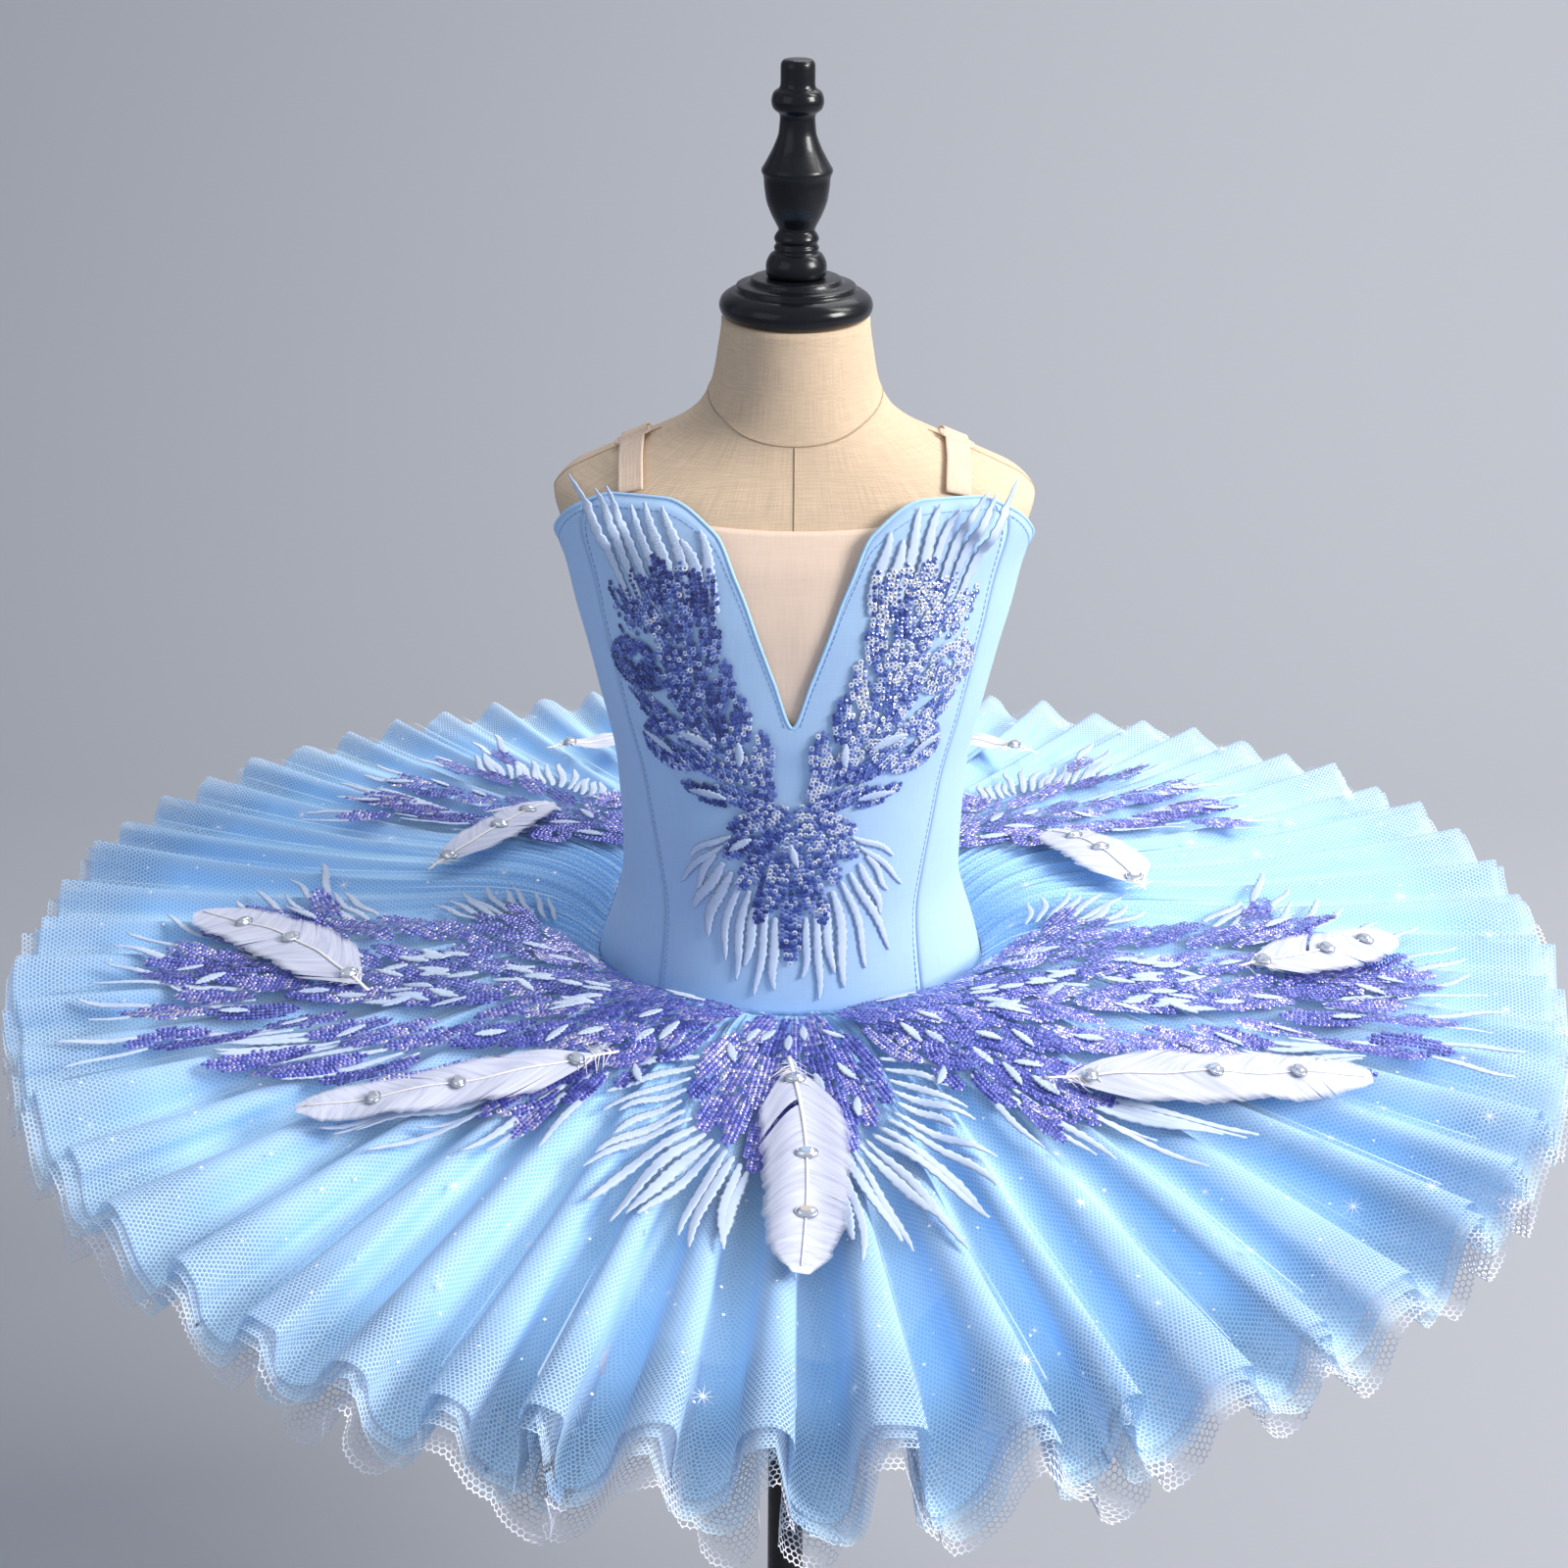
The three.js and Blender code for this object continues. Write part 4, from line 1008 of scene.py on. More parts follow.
def skirtBase(angle, share):
    ahead = np.cos(angle)
    turnedBy = np.arctan2(np.sin(angle), ahead)
    puff = skirt["puff"] * (1 - 0.5 * np.exp(-(turnedBy / skirt["flatFront"]) ** 2))
    rise = puff * (share / skirt["puffPlace"]) * np.exp(1 - share / skirt["puffPlace"])
    lean = (skirt["hemFront"] - skirt["hemBack"]) / 2 * ahead
    droop = ((skirt["hemFront"] + skirt["hemBack"]) / 2 - skirt["hemSides"]) * ahead ** 2
    return rise + (skirt["hemSides"] + lean + droop) * share ** 1.5


def frontShare(angle):
    return np.maximum(0, np.cos(angle)) ** 1.5


def deepened(share):
    return 1 + (foldPlan["deeper"] - 1) * smooth(share, 0.2, 0.8)


def pleatDepth(angle, share):
    uneven = 1 + 0.14 * np.sin(7 * angle + 1.1) + 0.1 * np.sin(17 * angle + 0.4)
    return (skirt["fold"] + skirt["frontExtra"] * np.maximum(0, np.cos(angle)) ** 2) * uneven * share ** 1.2


def pleatAngle(turns):
    return turns * tau + skirt["crowding"] * np.sin(turns * tau)


def pleatTurns(angle):
    # The inverse of pleatAngle.
    turns = np.asarray(angle, float) / tau
    for _ in range(12):
        turns = turns - (pleatAngle(turns) - angle) / (tau + skirt["crowding"] * tau * np.cos(turns * tau))
    return turns


def perPleat(values, turns):
    # A pleat's value, turning smoothly into its neighbour's.
    n = np.floor(turns).astype(int)
    t = smooth(turns - n, 0, 1)
    count = len(values)
    return values[n % count] * (1 - t) + values[(n + 1) % count] * t


def netGrid(plan, mesh, cover=False):
    # The plan's layer of cloth, with the rows and samples of mesh.
    pleats, samples = skirt["pleats"], mesh["samples"]
    rng = np.random.default_rng(plan["seed"])
    wander = plan["wander"] * rng.uniform(-1, 1, pleats)
    ownLong = 2.6 * rng.uniform(-1, 1, pleats)
    hang = plan["hang"] * rng.uniform(0, 1, pleats) ** 1.5
    q = (np.arange(pleats * samples) / samples)[None, :]
    share = (np.linspace(0, 1, mesh["rows"]) ** 0.85)[:, None]
    n = np.floor(q).astype(int)
    part = q - n
    front = frontShare(pleatAngle(q / pleats))
    skew = perPleat(pleatTable["skew"], q + 0.5)
    tall = perPleat(pleatTable["tall"], q)
    openness = (0.1 + (foldPlan["open"] - 0.1) * front) * smooth(share, 0.3, 0.95)
    along = part - skew * (1 - np.cos(tau * part)) / 2 + openness * np.sin(2 * tau * part) / (2 * tau)
    loose = 0.3 * smooth(share, 0.3, 0.8) + 0.7 * smooth(share, 0.78, 1.0)
    along = along + perPleat(wander, q + 0.5) * loose
    along = along + perPleat(pleatTable["drift"], q + 0.5) * (0.35 + front) * smooth(share, 0.25, 1.0)
    angle = pleatAngle((n + along) / pleats)
    # Crisp creases at the sides and behind, round tubes in front.
    crisp = np.arcsin(foldPlan["crisp"] * np.cos(tau * part)) / math.asin(foldPlan["crisp"])
    wave = crisp * (1 - front) + np.cos(tau * part) * front
    if cover:
        wave = 0.45 + 0.55 * wave
    pinch = foldPlan["pinch"] * np.cos(2 * tau * part + perPleat(pleatTable["wave"], q + 0.5))
    depth = pleatDepth(angle, share) * deepened(share) * (1 + (tall - 1) * smooth(share, 0.2, 0.9))
    depth = depth * (1 - 0.35 * np.clip(-np.cos(angle), 0, 1) * smooth(share, 0.3, 1))
    height = skirtBase(angle, share) - plan["under"] - plan["spread"] * share
    height = height + depth * (wave + pinch * smooth(share, 0.5, 1.0))
    gathers = (1.5 * np.sin(2 * tau * q + perPleat(pleatTable["wave"], q))
               + 0.8 * np.sin(5 * tau * q + 2 * perPleat(pleatTable["wave"], q + 0.5)))
    gathers = gathers * smooth(share, 0.0, 0.05) * (1 - smooth(share, 0.16, 0.6))
    sag = perPleat(pleatTable["dip"], q + 0.5) * (2 * part - 1) ** 2 - perPleat(hang, q + 0.5)
    height = height + gathers + sag * smooth(share, 0.6, 1.0)
    start = skirtStart(angle, plan["under"])
    longer = perPleat(pleatTable["long"], q + 0.5) + perPleat(ownLong, q)
    reach = start * (1 - share) + (plan["radius"] + longer * smooth(share, 0.6, 1.0)) * share
    # fold is 0 in a pleat's valley and 1 on its crest; the blue nets read it for their painted light and
    # shade.
    fold = 0.5 + 0.5 * wave * smooth(share, 0.1, 0.6)
    return {"angle": angle, "reach": reach, "height": height, "share": share, "fold": fold}


def keepUnder(grid, over, clear, places=2400):
    # Holds a layer below the lowest part of the one that lies on it, row by row.
    for row in range(len(grid["share"])):
        angle, height = over["angle"][row], over["height"][row]
        steps = np.linspace(0, 1, 8, endpoint=False)[:, None]
        turned = (np.roll(angle, -1) - angle + math.pi) % tau - math.pi
        at = np.floor((angle + turned * steps) / tau * places).astype(int) % places
        lowest = np.full(places, np.inf)
        np.minimum.at(lowest, at.ravel(), (height + (np.roll(height, -1) - height) * steps).ravel())
        lowest = np.minimum(lowest, np.minimum(np.roll(lowest, 1), np.roll(lowest, -1)))
        own = np.floor(grid["angle"][row] / tau * places).astype(int) % places
        grid["height"][row] = np.minimum(grid["height"][row], lowest[own] - clear)


def netPiece(name, grid, look, nodes, samples, keep=1.0):
    # Each pleat measures its cloth from its own crest, so that the mesh keeps its size up to the waist.
    reach, angle = grid["reach"], grid["angle"]
    points = np.stack([reach * np.sin(angle), -reach * np.cos(angle), lineHeight + grid["height"]], -1) * mm
    points = points[:int(len(points) * keep)]
    closed = np.concatenate([points, points[:, :1]], 1)
    run = np.concatenate([np.zeros((len(points), 1)),
                          np.cumsum(np.linalg.norm(np.diff(closed, axis=1), axis=2), axis=1)], 1)
    radial = np.concatenate([[0], np.cumsum(np.linalg.norm(np.diff(points[:, 0], axis=0), axis=1))])
    columns = points.shape[1]
    pleat = np.arange(columns) // samples + (np.arange(columns) % samples >= samples / 2)
    crest = np.where(pleat * samples < columns, run[:, (pleat * samples) % columns], run[:, -1:])
    left = run[:, :-1] - crest + pleat * 0.06 + 0.05
    right = run[:, 1:] - crest + pleat * 0.06 + 0.05
    v = np.repeat(radial[:, None], columns, 1)
    corners = [(left[1:], v[1:]), (right[1:], v[1:]), (right[:-1], v[:-1]), (left[:-1], v[:-1])]
    corners = np.stack([np.stack(corner, -1) for corner in corners], 2).reshape(-1, 2)
    faces = gridFaces(len(points), columns, True)[:, ::-1]
    piece = meshObject(name, points.reshape(-1, 3), faces, corners, looks[look])
    addAttribute(piece.data, "fold", np.broadcast_to(grid["fold"][:len(points)], points.shape[:2]))
    settle(piece, nodes)
    long, deep = float(run[-1, -1]), float(radial[-1])
    area = max(0.31 * long * deep, min(gridArea(points, True), long * deep))
    say(f"{name}: hem {long:.2f} m, deep {deep:.3f} m, area {area:.3f}")
    return piece


def makeNets():
    for plan in netLayers:
        grid = netGrid(plan, plan)
        if plan["under"]:
            keepUnder(grid, netGrid(netLayers[0], plan), foldPlan["clear"] + plan["under"] * 0.6)
        nodes = [plan["node"]] if plan["node"] else []
        netPiece(plan["name"], grid, plan["look"], nodes, plan["samples"])


def makeCover():
    grid = netGrid(coverLayer, coverLayer, cover=True)
    return netPiece("coverNet", grid, "glitterCover", ["cover_net"],
                    coverLayer["samples"], coverLayer["keep"])


def skirtTop(x, y, follow=0.35, lift=0.0):
    # Height of what lies on the cover net at a place in plan; follow is how far it sinks between pleats.
    angle = np.arctan2(x, -y)
    r = np.hypot(x, y)
    start = skirtStart(angle, -skirt["coverClear"])
    share = np.clip((r - start) / (skirt["radius"] - start), 0.0, 1.1)
    turns = pleatTurns(angle) * skirt["pleats"]
    drift = perPleat(pleatTable["drift"], turns + 0.5) * (0.35 + frontShare(angle))
    turns = turns - drift * smooth(share, 0.25, 1.0)
    part = turns - np.floor(turns)
    wave = 1 - follow * (1 - np.cos(tau * part)) / 2
    height = skirtBase(angle, share) + skirt["coverClear"] + pleatDepth(angle, share) * deepened(share) * wave
    return np.stack([x, y, lineHeight + height + lift], -1) * mm


# Geometry node trees.
def bakeTree(source, tree, values, name):
    # Runs a tree on an object and keeps the result as a plain mesh object of its own.
    modifier = source.modifiers.new("rows", "NODES")
    modifier.node_group = tree
    for item in tree.interface.items_tree:
        if item.item_type == "SOCKET" and item.in_out == "INPUT" and item.name in values:
            modifier[item.identifier] = values[item.name]
    graph = bpy.context.evaluated_depsgraph_get()
    graph.update()
    mesh = bpy.data.meshes.new_from_object(source.evaluated_get(graph), preserve_all_data_layers=True,
                                           depsgraph=graph)
    mesh.name = name
    source.modifiers.remove(modifier)
    return addObject(name, mesh)


def newGeometry(name, inputs):
    return newTree(name, "GeometryNodeTree", {"Geometry": "Geometry", **inputs, "Look": "Material"},
                   {"Geometry": "Geometry"})


def rowPoints(tree, given, step):
    # Points at even steps along the lines, with the lines' outward direction and their heading.
    curve = put(tree, "GeometryNodeMeshToCurve", None, Mesh=given["Geometry"])
    points = put(tree, "GeometryNodeResampleCurve", {"mode": "LENGTH"}, Curve=curve.outputs[0],
                 Length=given[step])
    up = put(tree, "GeometryNodeInputNamedAttribute", {"data_type": "FLOAT_VECTOR"}, Name="up")
    return points.outputs[0], up.outputs[0], tree.nodes.new("GeometryNodeInputTangent").outputs[0]


def placeAt(tree, points, item, axisZ, axisX):
    turn = put(tree, "FunctionNodeAxesToRotation", {"primary_axis": "Z", "secondary_axis": "X"},
               i0=axisZ, i1=axisX)
    return put(tree, "GeometryNodeInstanceOnPoints", None, Points=points, Instance=item,
               Rotation=turn.outputs[0]).outputs[0]


def randomValue(tree, given, kind, low, high):
    node = put(tree, "FunctionNodeRandomValue", {"data_type": kind}, Seed=given["Seed"])
    lowest, highest = (s for s in node.inputs if s.enabled and s.name in ("Min", "Max"))
    fill(tree, lowest, low)
    fill(tree, highest, high)
    return next(s for s in node.outputs if s.enabled)


def keepName(tree, geometry, name, domain, value):
    return put(tree, "GeometryNodeStoreNamedAttribute", {"data_type": "FLOAT", "domain": domain},
               Geometry=geometry, Name=name, Value=value).outputs[0]


def closeTree(tree, given, out, instances):
    real = put(tree, "GeometryNodeRealizeInstances", None, Geometry=instances)
    final = put(tree, "GeometryNodeSetMaterial", None, Geometry=real.outputs[0], Material=given["Look"])
    fill(tree, out[0], final.outputs[0])
    return tree


def sequinTree():
    # Cupped discs with a hole, sewn overlapping along each row.
    tree, given, out = newGeometry("sequinRows", {
        "Spacing": 0.003, "Radius": 0.0021, "Hole": 0.0006, "Cup": 0.0006, "Tilt": 0.3, "Uneven": 0.25,
        "Spread": 0.3, "Seed": 1})
    points, up, tangent = rowPoints(tree, given, "Spacing")
    width = math2(tree, "SUBTRACT", given["Radius"], given["Hole"])
    halfWidth = math2(tree, "MULTIPLY", width, 0.5)
    ring = put(tree, "GeometryNodeCurvePrimitiveCircle", {"mode": "RADIUS"}, Resolution=sequinSides,
               Radius=math2(tree, "ADD", given["Hole"], halfWidth))
    edge = put(tree, "GeometryNodeCurvePrimitiveLine", {"mode": "POINTS"},
               Start=joinXyz(tree, math2(tree, "MULTIPLY", halfWidth, -1.0)),
               End=joinXyz(tree, halfWidth, given["Cup"]))
    flat = put(tree, "GeometryNodeCurveToMesh", None, i0=ring.outputs[0])
    fill(tree, flat.inputs["Profile Curve"], edge.outputs[0])
    away = vector2(tree, "LENGTH", tree.nodes.new("GeometryNodeInputPosition").outputs[0])
    disc = keepName(tree, flat.outputs[0], "rim", "POINT", math2(tree, "DIVIDE", away, given["Radius"]))
    placed = placeAt(tree, points, disc, up, tangent)
    uneven = given["Uneven"]
    even = math2(tree, "MULTIPLY", uneven, -1.0)
    lean = randomValue(tree, given, "FLOAT_VECTOR", joinXyz(tree, even, even), joinXyz(tree, uneven, uneven))
    euler = vector2(tree, "ADD", lean, joinXyz(tree, 0.0, given["Tilt"]))
    leant = put(tree, "GeometryNodeRotateInstances", None, Instances=placed, Rotation=euler)
    darkest = math2(tree, "MULTIPLY", given["Spread"], -1.0)
    ownTone = randomValue(tree, given, "FLOAT", darkest, given["Spread"])
    shade = put(tree, "GeometryNodeInputNamedAttribute", {"data_type": "FLOAT"}, Name="shade")
    tone = math2(tree, "ADD", shade.outputs[0], ownTone, clamp=True)
    return closeTree(tree, given, out, keepName(tree, leant.outputs[0], "tone", "INSTANCE", tone))


def stitchTree():
    # Short round stitches along a line.
    tree, given, out = newGeometry("stitchLine", {"Pitch": 0.0034, "Long": 0.0023, "Thread": 0.00028})
    points, up, tangent = rowPoints(tree, given, "Pitch")
    thread = put(tree, "GeometryNodeMeshCylinder", None, Vertices=6, Radius=given["Thread"],
                 Depth=given["Long"])
    return closeTree(tree, given, out, placeAt(tree, points, thread.outputs[0], tangent, up))


def glitterTree():
    # Star bursts and dots of glitter scattered over the net.
    tree, given, out = newGeometry("glitterScatter", {
        "Apart": 0.05, "Many": 400.0, "Reach": 0.006, "Waist": 0.00035, "Rays": 8, "Lift": 0.0006, "Seed": 3})
    points = put(tree, "GeometryNodeDistributePointsOnFaces", {"distribute_method": "POISSON"},
                 Mesh=given["Geometry"], Seed=given["Seed"])
    fill(tree, points.inputs["Distance Min"], given["Apart"])
    fill(tree, points.inputs["Density Max"], given["Many"])
    star = put(tree, "GeometryNodeCurveStar", None, Points=given["Rays"])
    fill(tree, star.inputs["Inner Radius"], given["Waist"])
    fill(tree, star.inputs["Outer Radius"], given["Reach"])
    filled = put(tree, "GeometryNodeFillCurve", {"mode": "TRIANGLES"}, Curve=star.outputs[0])
    raised = put(tree, "GeometryNodeTransform", None, Geometry=filled.outputs[0],
                 Translation=joinXyz(tree, z=given["Lift"]))
    placed = put(tree, "GeometryNodeInstanceOnPoints", None, Points=points.outputs["Points"],
                 Instance=raised.outputs[0], Rotation=points.outputs["Rotation"],
                 Scale=randomValue(tree, given, "FLOAT", 0.55, 1.25))
    return closeTree(tree, given, out, placed.outputs[0])


trees = {}
sequinSides = 6


def lineObject(name, lines, ups, shades=None):
    # Polylines with an outward direction at each point, for the trees to follow.
    points = np.concatenate(lines)
    edges, base = [], 0
    for line in lines:
        edges += [(base + k, base + k + 1) for k in range(len(line) - 1)]
        base += len(line)
    mesh = bpy.data.meshes.new(name)
    mesh.from_pydata(points.tolist(), edges, [])
    addAttribute(mesh, "up", np.concatenate(ups), "FLOAT_VECTOR")
    if shades is not None:
        addAttribute(mesh, "shade", np.concatenate(shades))
    return addObject(name, mesh)


def runLines(name, lines, ups, tree, values, look, shades=None):
    source = lineObject(name + "Lines", lines, ups, shades)
    piece = bakeTree(source, trees[tree], {**values, "Look": looks[look]}, name)
    bpy.data.objects.remove(source)
    return piece


# Sequined trims.
# The slope column paints the sequins paler towards +X, where the key lamp shines: painted glints.
trimPlan, bodiceSequins = rowsOf(
    "rowGap spacing radius hole cup tilt uneven tierLift inside tone toneSlope spread",
    (2.5, 2.35, 1.62, 0.35, 0.5, 0.12, 0.14, 0.5, 112, 0.40, 0.0, 0.36),
    (2.3, 2.3, 1.6, 0.35, 0.45, 0.16, 0.2, 0.35, -1, 0.48, 0.003, 0.44))
quillPlan = {"lift": 0.5, "rise": 0.45, "serrate": 0.15, "wave": 1.7}


def spineMap(spine):
    # place(s, r): s along the spine from 0 to 1, r across from -1 on its right to 1 on its left.
    rows = np.array([[row["x"], row["y"], row["left"], row["right"]] for row in spine], float)
    padded = np.concatenate([[2 * rows[0] - rows[1]], rows, [2 * rows[-1] - rows[-2]]])

    def place(s, r):
        s, r = np.broadcast_arrays(np.asarray(s, float), np.asarray(r, float))
        at = np.clip(s, 0, 1) * (len(rows) - 1)
        i = np.minimum(at.astype(int), len(rows) - 2)
        t = (at - i)[..., None]
        a, b, c, d = (padded[i + k] for k in range(4))
        bend, twist = 2 * a - 5 * b + 4 * c - d, 3 * b - a - 3 * c + d
        value = 0.5 * (2 * b + (c - a) * t + bend * t ** 2 + twist * t ** 3)
        slope = 0.5 * ((c - a) + 2 * bend * t + 3 * twist * t ** 2)
        heading = slope[..., :2] / np.maximum(np.linalg.norm(slope[..., :2], axis=-1, keepdims=True), 1e-9)
        width = np.where(r > 0, value[..., 2], value[..., 3])
        side = np.stack([-heading[..., 1], heading[..., 0]], -1)
        return value[..., :2] + side * (r * width)[..., None]
    return place


def sideOf(line):
    heading = np.gradient(line, axis=0)
    heading /= np.maximum(np.linalg.norm(heading, axis=1, keepdims=True), 1e-9)
    return np.stack([-heading[:, 1], heading[:, 0]], -1)


def stretches(chosen):
    # The first and the one past the last place of each run of chosen places.
    edges = np.flatnonzero(np.diff(np.concatenate([[0], chosen.astype(int), [0]])))
    return zip(edges[::2], edges[1::2])


def bandRows(line, half, gap):
    # Rows beside a line, each as far along as the band is wide enough for it.
    side = sideOf(line)
    rows = []
    count = int(half.max() / gap + 0.3)
    for k in range(-count, count + 1):
        inside = half >= abs(k) * gap * 0.98
        for first, last in stretches(inside):
            first += k % 2  # every other row is set half a sequin on
            if last - first >= 4:
                rows.append(line[first:last] + side[first:last] * (k * gap))
    return rows


def plumeShape(samples, half, blunt):
    t = np.linspace(0, 1, samples)
    return half * np.clip(np.sin(math.pi * (0.06 + 0.90 * t)), 0, 1) ** blunt


def quillShape(samples, half):
    t = np.linspace(0, 1, samples)
    shape = (t + 0.05) ** 0.55 * (1.03 - t) ** 0.6
    return half * shape / shape.max()


def curl(start, heading, long, turn, samples=26):
    # A line that sets off along heading (an angle) and turns evenly by turn.
    angle = heading + turn * np.linspace(0, 1, samples - 1)
    steps = np.stack([np.cos(angle), np.sin(angle)], -1) * (long / (samples - 1))
    return np.asarray(start, float) + np.concatenate([[[0.0, 0.0]], np.cumsum(steps, axis=0)])


def addPlume(design, start, heading, long, turn, half, tier):
    line = curl(start, heading, long, turn, 40)
    design["bands"].append((line, plumeShape(40, half, 0.72), tier))
    return line


def addQuills(design, rng, line, heading, plan):
    # Quills that carry a plume on outward, side by side and spread a little.
    count = plan["quills"]
    across = np.array([-math.sin(heading), math.cos(heading)])
    back = np.array([math.cos(heading), math.sin(heading)])
    for m in range(count):
        f = (m - (count - 1) / 2) / max(1, count - 1)
        start = line[-1] - back * (9 + 5 * abs(f)) + across * (f * plan["apart"] * count)
        long = plan["quillLong"] * rng.uniform(0.72, 1.08) * (1 - 0.25 * abs(f))
        bend = rng.uniform(-0.10, 0.10)
        quill = curl(start, heading + f * plan["fan"], long, bend)
        design["quills"].append((quill, plan["quillHalf"] * rng.uniform(0.8, 1.15)))


def quillFan(design, rng, plan):
    # A row of quills whose roots lie on a line and whose headings open like a fan.
    root, end = np.array(plan["root"], float), np.array(plan["end"], float)
    loose = plan.get("loose", 1.0)
    for f in np.linspace(0, 1, plan["count"]):
        heading = math.radians(plan["heading"][0] + (plan["heading"][1] - plan["heading"][0]) * f
                               + rng.uniform(-4, 4) * loose)
        long = plan["long"] * (1 - plan.get("taper", 0.25) * abs(2 * f - 1))
        long *= 1 + plan.get("grow", 0) * (2 * f - 1)
        turn = math.radians(plan.get("turn", 0) + rng.uniform(-12, 12) * loose)
        line = curl(root + (end - root) * f, heading, long * rng.uniform(1.05 - 0.33 * loose, 1.08), turn)
        design["quills"].append((line, plan["half"] * rng.uniform(0.82, 1.2)))


def bothSides(fans):
    # The same fans again on the other side of the middle line.
    other = [{**fan, "root": (-fan["root"][0], fan["root"][1]), "end": (-fan["end"][0], fan["end"][1]),
              "heading": tuple(180 - h for h in fan["heading"]), "turn": -fan.get("turn", 0)} for fan in fans]
    return fans + other


def leafBed(design, rng, plan):
    for _ in range(plan["count"]):
        place = np.array(plan["at"]) + rng.uniform(-1, 1, 2) * plan["reach"]
        heading = math.radians(plan["heading"] + rng.uniform(-18, 18))
        design["leaves"].append((curl(place, heading, rng.uniform(13, 20), rng.uniform(-0.3, 0.3), 14),
                                 rng.uniform(2.2, 3.3)))


def branchSpine(plan):
    line = curl(plan["start"], math.radians(plan["heading"]), plan["long"], math.radians(plan["turn"]), 6)
    swell = plan["wide"] * np.sin(math.pi * np.linspace(0.12, 0.92, 6)) ** 0.6
    return [{"x": x, "y": y, "left": w, "right": w} for (x, y), w in zip(line, swell)]


def addLeaf(design, line, at, long, half, turn):
    # A satin leaf that starts on a plume's middle line and leaves it at a small angle.
    k = int(at * (len(line) - 2))
    ahead = line[k + 1] - line[k]
    design["leaves"].append((curl(line[k], math.atan2(ahead[1], ahead[0]) + turn, long, 0.25, 16), half))


def addScroll(design, centre, radius, turns, start, way, half, tier):
    t = np.linspace(0, 1, 60)
    angle = start + way * t * turns * tau
    size = radius * (1 - 0.70 * t)
    line = np.array(centre) + np.stack([np.cos(angle), np.sin(angle)], -1) * size[:, None]
    design["bands"].append((line, half * np.clip(1.15 - 0.55 * t, 0, 1), tier))


def wingDesign(place, seed, tiers, tip, scrolls=(), fans=(), branches=(), beds=()):
    # Plumes in tiers, each over the next like the covert feathers of a wing.
    rng = np.random.default_rng(seed)
    design = {"bands": [], "quills": [], "leaves": []}

    def ahead(s):
        way = place(min(1.0, s + 0.02), 0.0) - place(max(0.0, s - 0.02), 0.0)
        return math.atan2(way[1], way[0])

    for side in (1, -1):
        for number, tier in enumerate(tiers):
            for f in np.linspace(0, 1, tier["count"]):
                s = tier["first"] + (tier["last"] - tier["first"]) * f
                slant = math.radians(tier["slant"][0] + (tier["slant"][1] - tier["slant"][0]) * f)
                heading = ahead(s) + side * (slant + rng.uniform(-0.14, 0.14))
                line = addPlume(design, place(s, side * tier["from"]), heading,
                                tier["long"] * rng.uniform(0.85, 1.1), -side * tier["turn"],
                                tier["half"] * rng.uniform(0.88, 1.1), len(tiers) - number)
                if rng.uniform() < tier["leaves"]:
                    addLeaf(design, line, rng.uniform(0.25, 0.6), rng.uniform(14, 20), rng.uniform(2.3, 3.2),
                            side * rng.uniform(-0.4, 0.5))
    for f in np.linspace(-1, 1, tip["count"]):
        heading = ahead(tip["at"]) + f * math.radians(tip["spread"])
        start = place(tip["at"] - 0.06 * abs(f), 0.6 * f)
        line = addPlume(design, start, heading, tip["long"], 0.05 * f, tip["half"], 1)
        addQuills(design, rng, line, heading + 0.05 * f, tip)
    for scroll in scrolls:
        addScroll(design, *scroll)
    for fan in fans:
        quillFan(design, rng, fan)
    for bed in beds:
        leafBed(design, rng, bed)
    for number, branch in enumerate(branches):
        side = wingDesign(spineMap(branchSpine(branch)), seed + 10 + number, branchTiers, branchTip)
        for kind in design:
            design[kind] += side[kind]
    return design


def fanDesign(origin, seed, tiers, fans, way=-1):
    # Plumes in tiers, all spreading from one origin towards way times Y.
    rng = np.random.default_rng(seed)
    design = {"bands": [], "quills": [], "leaves": []}
    for number, tier in enumerate(tiers):
        for f in np.linspace(-1, 1, tier["count"]):
            heading = way * math.pi / 2 + f * math.radians(tier["spread"])
            reach = tier["from"] - 0.4 * tier["droop"] * abs(f)
            start = np.array([0.0, origin]) + reach * np.array([math.cos(heading), math.sin(heading)])
            long = (tier["long"] - tier["droop"] * abs(f) ** 1.6) * rng.uniform(0.92, 1.08)
            line = addPlume(design, start, heading, long, 0.12 * f, tier["half"] * rng.uniform(0.9, 1.1),
                            len(tiers) - number)
            if rng.uniform() < tier["leaves"]:
                addLeaf(design, line, rng.uniform(0.25, 0.6), tier["half"] * 2.1, tier["half"] * 0.34,
                        rng.uniform(-0.5, 0.5))
    for fan in bothSides(fans):
        quillFan(design, rng, fan)
    return design


wingTiers = rowsOf(
    "from first last count slant long turn half leaves",
    (0.0, 0.0, 0.8, 12, (28, 20), 42, 0.15, 7.4, 0.55),
    (0.2, 0.03, 0.78, 12, (42, 28), 48, 0.25, 7.6, 0.55),
    (0.44, 0.05, 0.74, 10, (54, 36), 56, 0.45, 7.4, 0.15))
wingTip = {"at": 0.78, "count": 7, "spread": 42, "long": 44, "half": 7.6, "quills": 2, "apart": 5.0,
           "fan": 0.2, "quillLong": 52, "quillHalf": 2.4}
wingFans = rowsOf(
    "root end heading count long turn half",
    ((-92, -176), (-162, -190), (238, 204), 9, 108, -12, 2.4),
    ((-190, -156), (-268, -128), (208, 186), 10, 82, -8, 2.4),
    ((-284, -104), (-292, -52), (184, 164), 9, 60, -8, 2.3),
    ((-270, -44), (-232, -8), (156, 130), 9, 58, -14, 2.3),
    ((-176, -20), (-132, -10), (146, 112), 9, 46, -16, 2.2))
